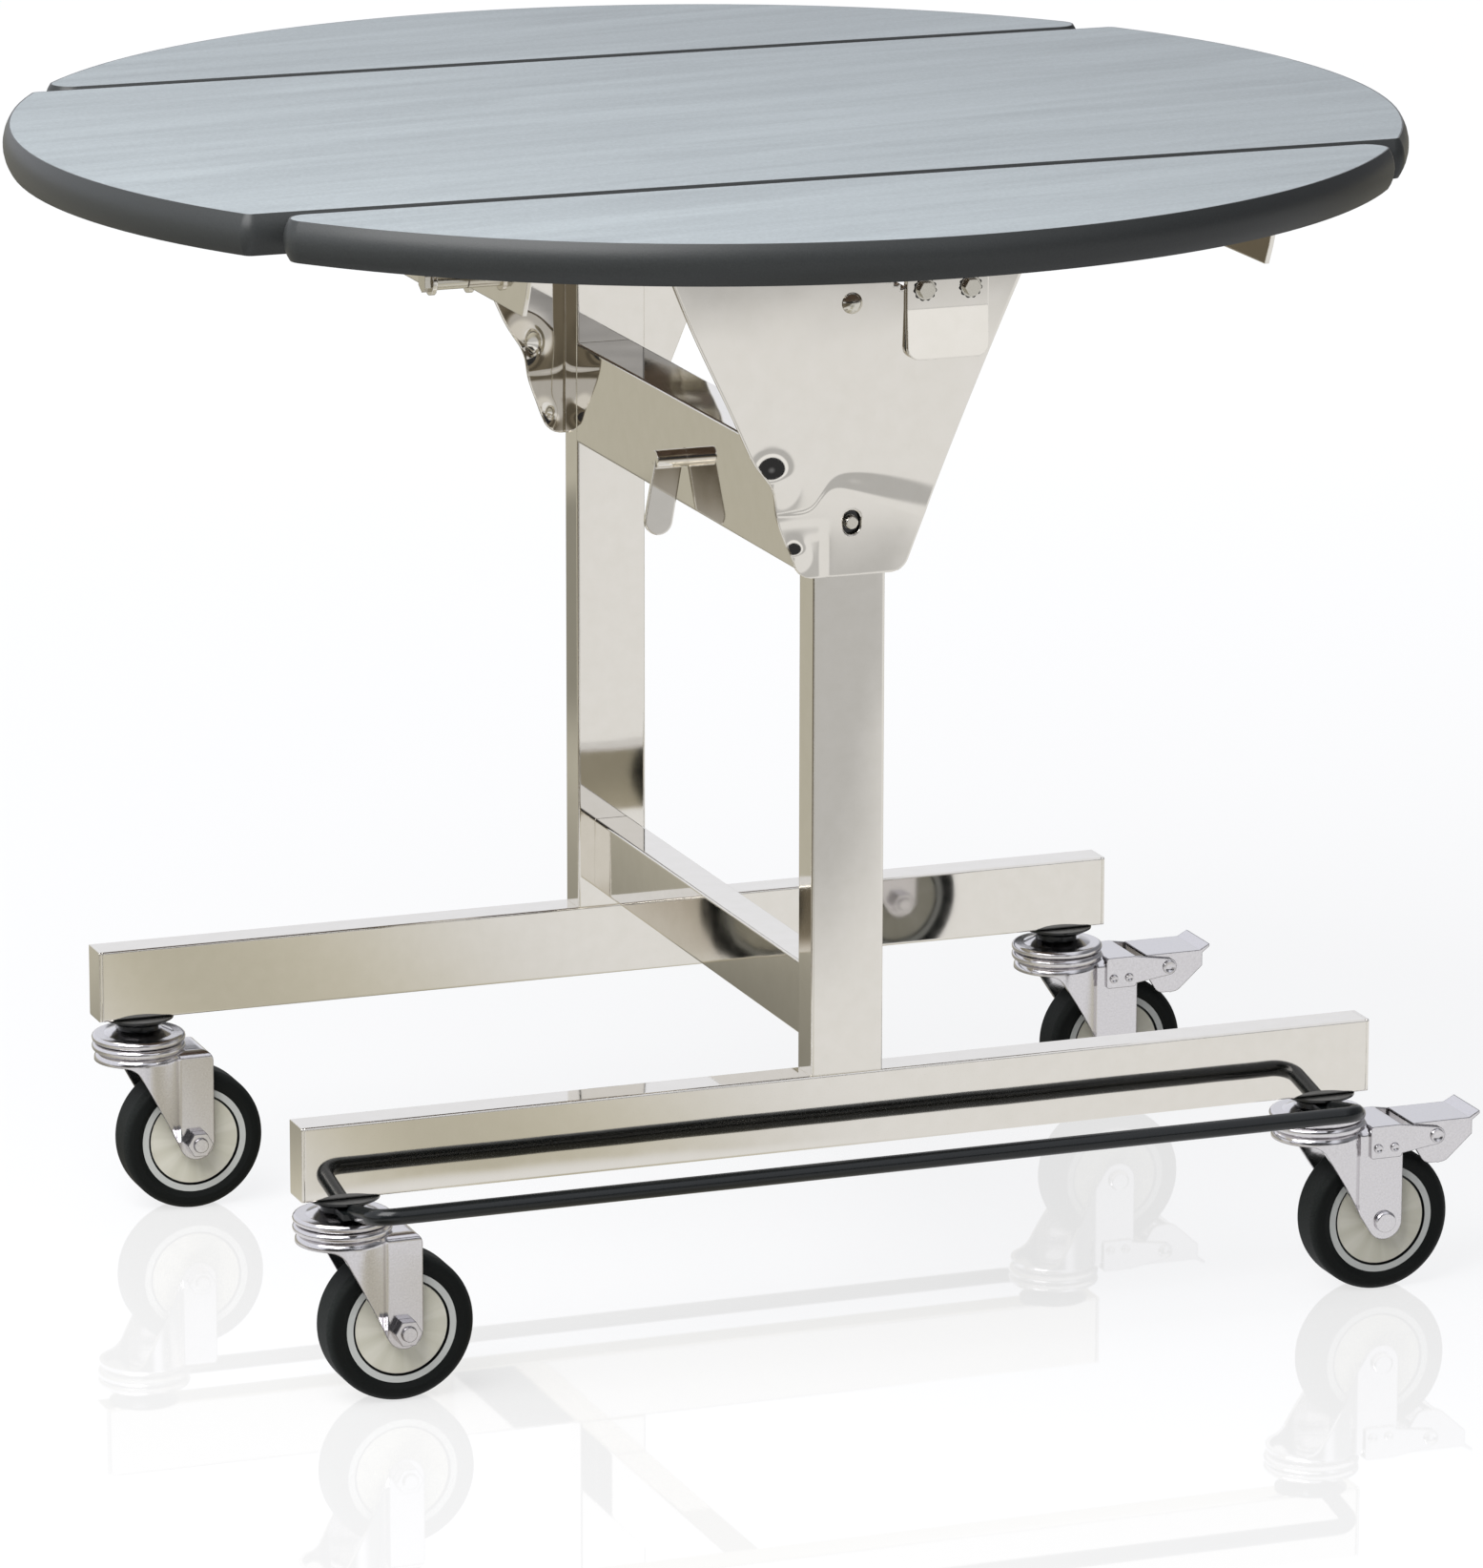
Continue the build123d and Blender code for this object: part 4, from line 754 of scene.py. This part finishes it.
def white_lacquered_floor():
    """White lacquer: plain white and some lit paint to the camera, so shadows stay; to mirrors it glows
    with painted bands and patches of light and shade.
    """
    plain_white, far_white, near_reach, far_reach = 0.875, 1.0, 0.3, 3.2
    lit_paint, gloss_share = 0.18, 0.19
    full, dim, dark = 0.88, 0.56, 0.20
    material, tree, place = new_material("white_lacquered_floor")
    camera_ray, mirror_ray = seen_by(tree)
    tone = {"one": 1.0}
    for axis in ("X", "Y"):
        tone[axis] = add(tree, "ShaderNodeSeparateXYZ", {0: place}, axis)
    for name, slant in (("off_dim", 0.087), ("off_streak", 0.436), ("off_strip", 0.37)):
        along = {0: tone["Y"], 1: slant, 2: tone["X"]}
        tone[name] = add(tree, "ShaderNodeMath", along, operation="MULTIPLY_ADD")
    # Soft steps: what each runs along, where it starts and ends in metres, and its first and last tone
    for name, along, start, end, first, last in (
        ("dim_left", "off_dim", -0.334, -0.154, full, dim),
        ("dim_right", "off_dim", -0.154, 0.196, dim, full),
        ("gap_front", "Y", -0.76, -0.69, 0.0, full),
        ("gap_back", "Y", -0.56, -0.49, 1.0, 0.0),
        ("left_side", "X", -0.92, -0.80, 1.0 - dark, 0.0),
        ("left_front", "Y", 0.0, 0.3, 1.0, 0.0),
        ("patch_left", "X", -0.56, -0.48, 0.0, 1.0),
        ("patch_right", "X", -0.44, -0.20, 0.80, 0.0),
        ("patch_front", "Y", -0.54, -0.48, 0.0, 1.0),
        ("patch_back", "Y", -0.31, -0.26, 1.0, 0.0),
        ("behind_near", "Y", 0.0, 0.45, 1.0, 0.40),
        ("behind_far", "Y", 0.60, 0.90, 0.0, 0.19),
        ("streak_side", "off_streak", -0.165, -0.10, 0.34, 0.0),
        ("streak_front", "Y", -2.68, -2.42, 0.0, 1.0),
        ("streak_back", "Y", -1.5, -0.95, 1.0, 0.0),
        ("strip_side", "off_strip", 0.0, 0.035, 0.0, 0.43),
        ("strip_front", "Y", 1.3, 1.6, 0.0, 1.0),
        ("strip_back", "Y", 2.25, 2.4, 1.0, 0.0),
        ("distance_near", "Y", -3.9, -3.35, 0.60, 1.0),
        ("distance_far", "Y", -7.0, -5.6, 0.52, 0.0),
    ):
        step = {"Value": tone[along], "From Min": start, "From Max": end, "To Min": first, "To Max": last}
        tone[name] = add(tree, "ShaderNodeMapRange", step, interpolation_type="SMOOTHSTEP")
    # Tones put together: the first of a row with each of the others in turn
    for name, operation, first, *others in (
        ("gap", "MULTIPLY", "gap_front", "gap_back"),
        ("across", "MAXIMUM", "dim_left", "dim_right", "gap"),
        ("left", "MULTIPLY", "left_side", "left_front"),
        ("patch", "MULTIPLY", "patch_left", "patch_right", "patch_front", "patch_back"),
        ("far_left", "MAXIMUM", "left", "patch"),
        ("lit_left", "SUBTRACT", "one", "far_left"),
        ("behind", "ADD", "behind_near", "behind_far"),
        ("streak", "MULTIPLY", "streak_side", "streak_front", "streak_back"),
        ("no_streak", "SUBTRACT", "one", "streak"),
        ("strip", "MULTIPLY", "strip_side", "strip_front", "strip_back"),
        ("no_strip", "SUBTRACT", "one", "strip"),
        ("distance", "ADD", "distance_near", "distance_far"),
        ("near_and_behind", "MULTIPLY", "across", "behind"),
        ("mirrored", "MULTIPLY", "near_and_behind", "lit_left", "no_streak", "no_strip", "distance"),
    ):
        tone[name] = tone[first]
        for other in others:
            pair = {0: tone[name], 1: tone[other]}
            tone[name] = add(tree, "ShaderNodeMath", pair, operation=operation)
    warmth = {"Value": tone["near_and_behind"], "From Min": dim, "From Max": full}
    warmth = add(tree, "ShaderNodeMapRange", warmth, interpolation_type="SMOOTHSTEP")
    tint = {"Factor_Float": warmth, "A_Color": colour("#FFFAE8"), "B_Color": colour("#FEFEFF")}
    tint = add(tree, "ShaderNodeMix", tint, "Result_Color", data_type="RGBA")
    tint = {"Factor_Float": tone["far_left"], "A_Color": tint, "B_Color": colour("#FFEDCB")}
    tint = add(tree, "ShaderNodeMix", tint, "Result_Color", data_type="RGBA")
    # Painted reflection: mirrored rays see the floor glow with these tones, bands and patches of light and
    # shade, warm where dim
    mirrored = add(tree, "ShaderNodeEmission", {"Color": tint, "Strength": tone["mirrored"]})
    paint = {"Factor_Float": camera_ray, "A_Color": colour("#BDBDBD"), "B_Color": (lit_paint,) * 3 + (1.0,)}
    paint = add(tree, "ShaderNodeMix", paint, "Result_Color", data_type="RGBA")
    paint = add(tree, "ShaderNodeBsdfDiffuse", {"Color": paint})
    reach = add(tree, "ShaderNodeVectorMath", {0: place}, "Value", operation="LENGTH")
    plain = {"From Min": near_reach, "From Max": far_reach, "To Min": plain_white, "To Max": far_white}
    plain = add(tree, "ShaderNodeMapRange", {"Value": reach, **plain})
    plain = add(tree, "ShaderNodeMath", {0: plain, 1: camera_ray}, operation="MULTIPLY")
    white = add(tree, "ShaderNodeEmission", {"Strength": plain})
    lit = add(tree, "ShaderNodeAddShader", {0: paint, 1: white})
    gloss = add(tree, "ShaderNodeBsdfGlossy", {"Roughness": 0.02})
    glossy = add(tree, "ShaderNodeMath", {0: camera_ray, 1: gloss_share}, operation="MULTIPLY")
    lit = add(tree, "ShaderNodeMixShader", {"Fac": glossy, 1: lit, 2: gloss})
    shader = add(tree, "ShaderNodeMixShader", {"Fac": mirror_ray, 1: lit, 2: mirrored})
    add(tree, "ShaderNodeOutputMaterial", {"Surface": shader})
    return material


floor_half = 20.0
floor_corners = np.array([(-1, -1, 0), (1, -1, 0), (1, 1, 0), (-1, 1, 0)]) * floor_half
floor_mesh = bpy.data.meshes.new("floor")
floor_mesh.from_pydata(floor_corners.tolist(), [], [(0, 1, 2, 3)])
floor_mesh.materials.append(white_lacquered_floor())
floor = bpy.data.objects.new("floor", floor_mesh)
bpy.context.scene.collection.objects.link(floor)

ambient, grey_side, dark_room = 0.40, 0.25, 0.04
world = bpy.data.worlds.new("white_surround")
world.use_nodes = True
tree = world.node_tree
tree.nodes.clear()
camera_ray, mirror_ray = seen_by(tree)
direction = add(tree, "ShaderNodeTexCoord", {}, "Generated")
look = {axis: add(tree, "ShaderNodeSeparateXYZ", {0: direction}, axis) for axis in ("X", "Y", "Z")}
# Painted reflection: only mirrored rays see the grey side and the dark room with its skirting; other light
# is a plain ambient
# Soft steps over the way that a ray looks: its axis, start and end, and its first and last share
for name, axis, start, end, first, last in (
    ("white_side", "X", 0.39, 0.70, 1.0, grey_side),
    ("in_front", "Y", -0.60, -0.30, 1.0, 0.0),
    ("low_down", "Z", 0.36, 0.60, 1.0, 0.0),
    ("left_hand", "X", 0.06, 0.32, 1.0, 0.0),
    ("skirting", "Z", 0.14, 0.26, 1.0, 0.0),
):
    step = {"Value": look[axis], "From Min": start, "From Max": end, "To Min": first, "To Max": last}
    look[name] = add(tree, "ShaderNodeMapRange", step, interpolation_type="SMOOTHSTEP")
room = add(tree, "ShaderNodeMath", {0: look["low_down"], 1: look["left_hand"]}, operation="MULTIPLY")
room = add(tree, "ShaderNodeMath", {0: room, 1: look["skirting"]}, operation="MAXIMUM")
room = add(tree, "ShaderNodeMath", {0: room, 1: look["in_front"]}, operation="MULTIPLY")
mirrored = {"Factor_Float": room, "A_Float": look["white_side"], "B_Float": dark_room}
mirrored = add(tree, "ShaderNodeMix", mirrored, "Result_Float", data_type="FLOAT")
strength = {"Factor_Float": mirror_ray, "A_Float": ambient, "B_Float": mirrored}
strength = add(tree, "ShaderNodeMix", strength, "Result_Float", data_type="FLOAT")
strength = {"Factor_Float": camera_ray, "A_Float": strength, "B_Float": 1.0}
strength = add(tree, "ShaderNodeMix", strength, "Result_Float", data_type="FLOAT")
tint = {"Factor_Float": camera_ray, "A_Color": colour("#F3F5FC"), "B_Color": colour("#FFFFFF")}
tint = add(tree, "ShaderNodeMix", tint, "Result_Color", data_type="RGBA")
surround = add(tree, "ShaderNodeBackground", {"Color": tint, "Strength": strength})
add(tree, "ShaderNodeOutputWorld", {"Surface": surround})
bpy.context.scene.world = world

key_place = Vector((-1.3, -0.9, 2.2))
key_aim = Vector((-0.1, 0.0, 0.5))
key = bpy.data.lights.new("key_softbox", "AREA")
key.size = 2.0
key.energy = 77.0
key_object = bpy.data.objects.new("key_softbox", key)
key_turn = (key_aim - key_place).to_track_quat("-Z", "Y").to_matrix().to_4x4()
key_object.matrix_world = Matrix.Translation(key_place) @ key_turn
bpy.context.scene.collection.objects.link(key_object)


# Camera
# A long lens from the front left, a little above the top, for an upright picture of 1555 by 1644.
# Its shift puts the lens's axis at middle_x, middle_y, in pixels from the upper left corner.

picture_width, picture_height = 1555, 1644
middle_x, middle_y = 719.9, 839.0
focal_pixels = 9185.7
azimuth, elevation = radians(-20.24), radians(14.317)
eye = Vector((-1.9971, -5.3797, 1.7823))
back = Vector((sin(azimuth) * cos(elevation), -cos(azimuth) * cos(elevation), sin(elevation)))
right = Vector((cos(azimuth), sin(azimuth), 0.0))
up = back.cross(right)
camera_data = bpy.data.cameras.new("camera")
camera_data.sensor_width = 36.0
camera_data.lens = focal_pixels / picture_height * camera_data.sensor_width
camera_data.shift_x = (picture_width / 2 - middle_x) / picture_height
camera_data.shift_y = (middle_y - picture_height / 2) / picture_height
camera = bpy.data.objects.new("camera", camera_data)
camera.matrix_world = Matrix.Translation(eye) @ Matrix((right, up, back)).transposed().to_4x4()
bpy.context.scene.collection.objects.link(camera)
bpy.context.scene.camera = camera
bpy.context.scene.view_settings.view_transform = "Standard"
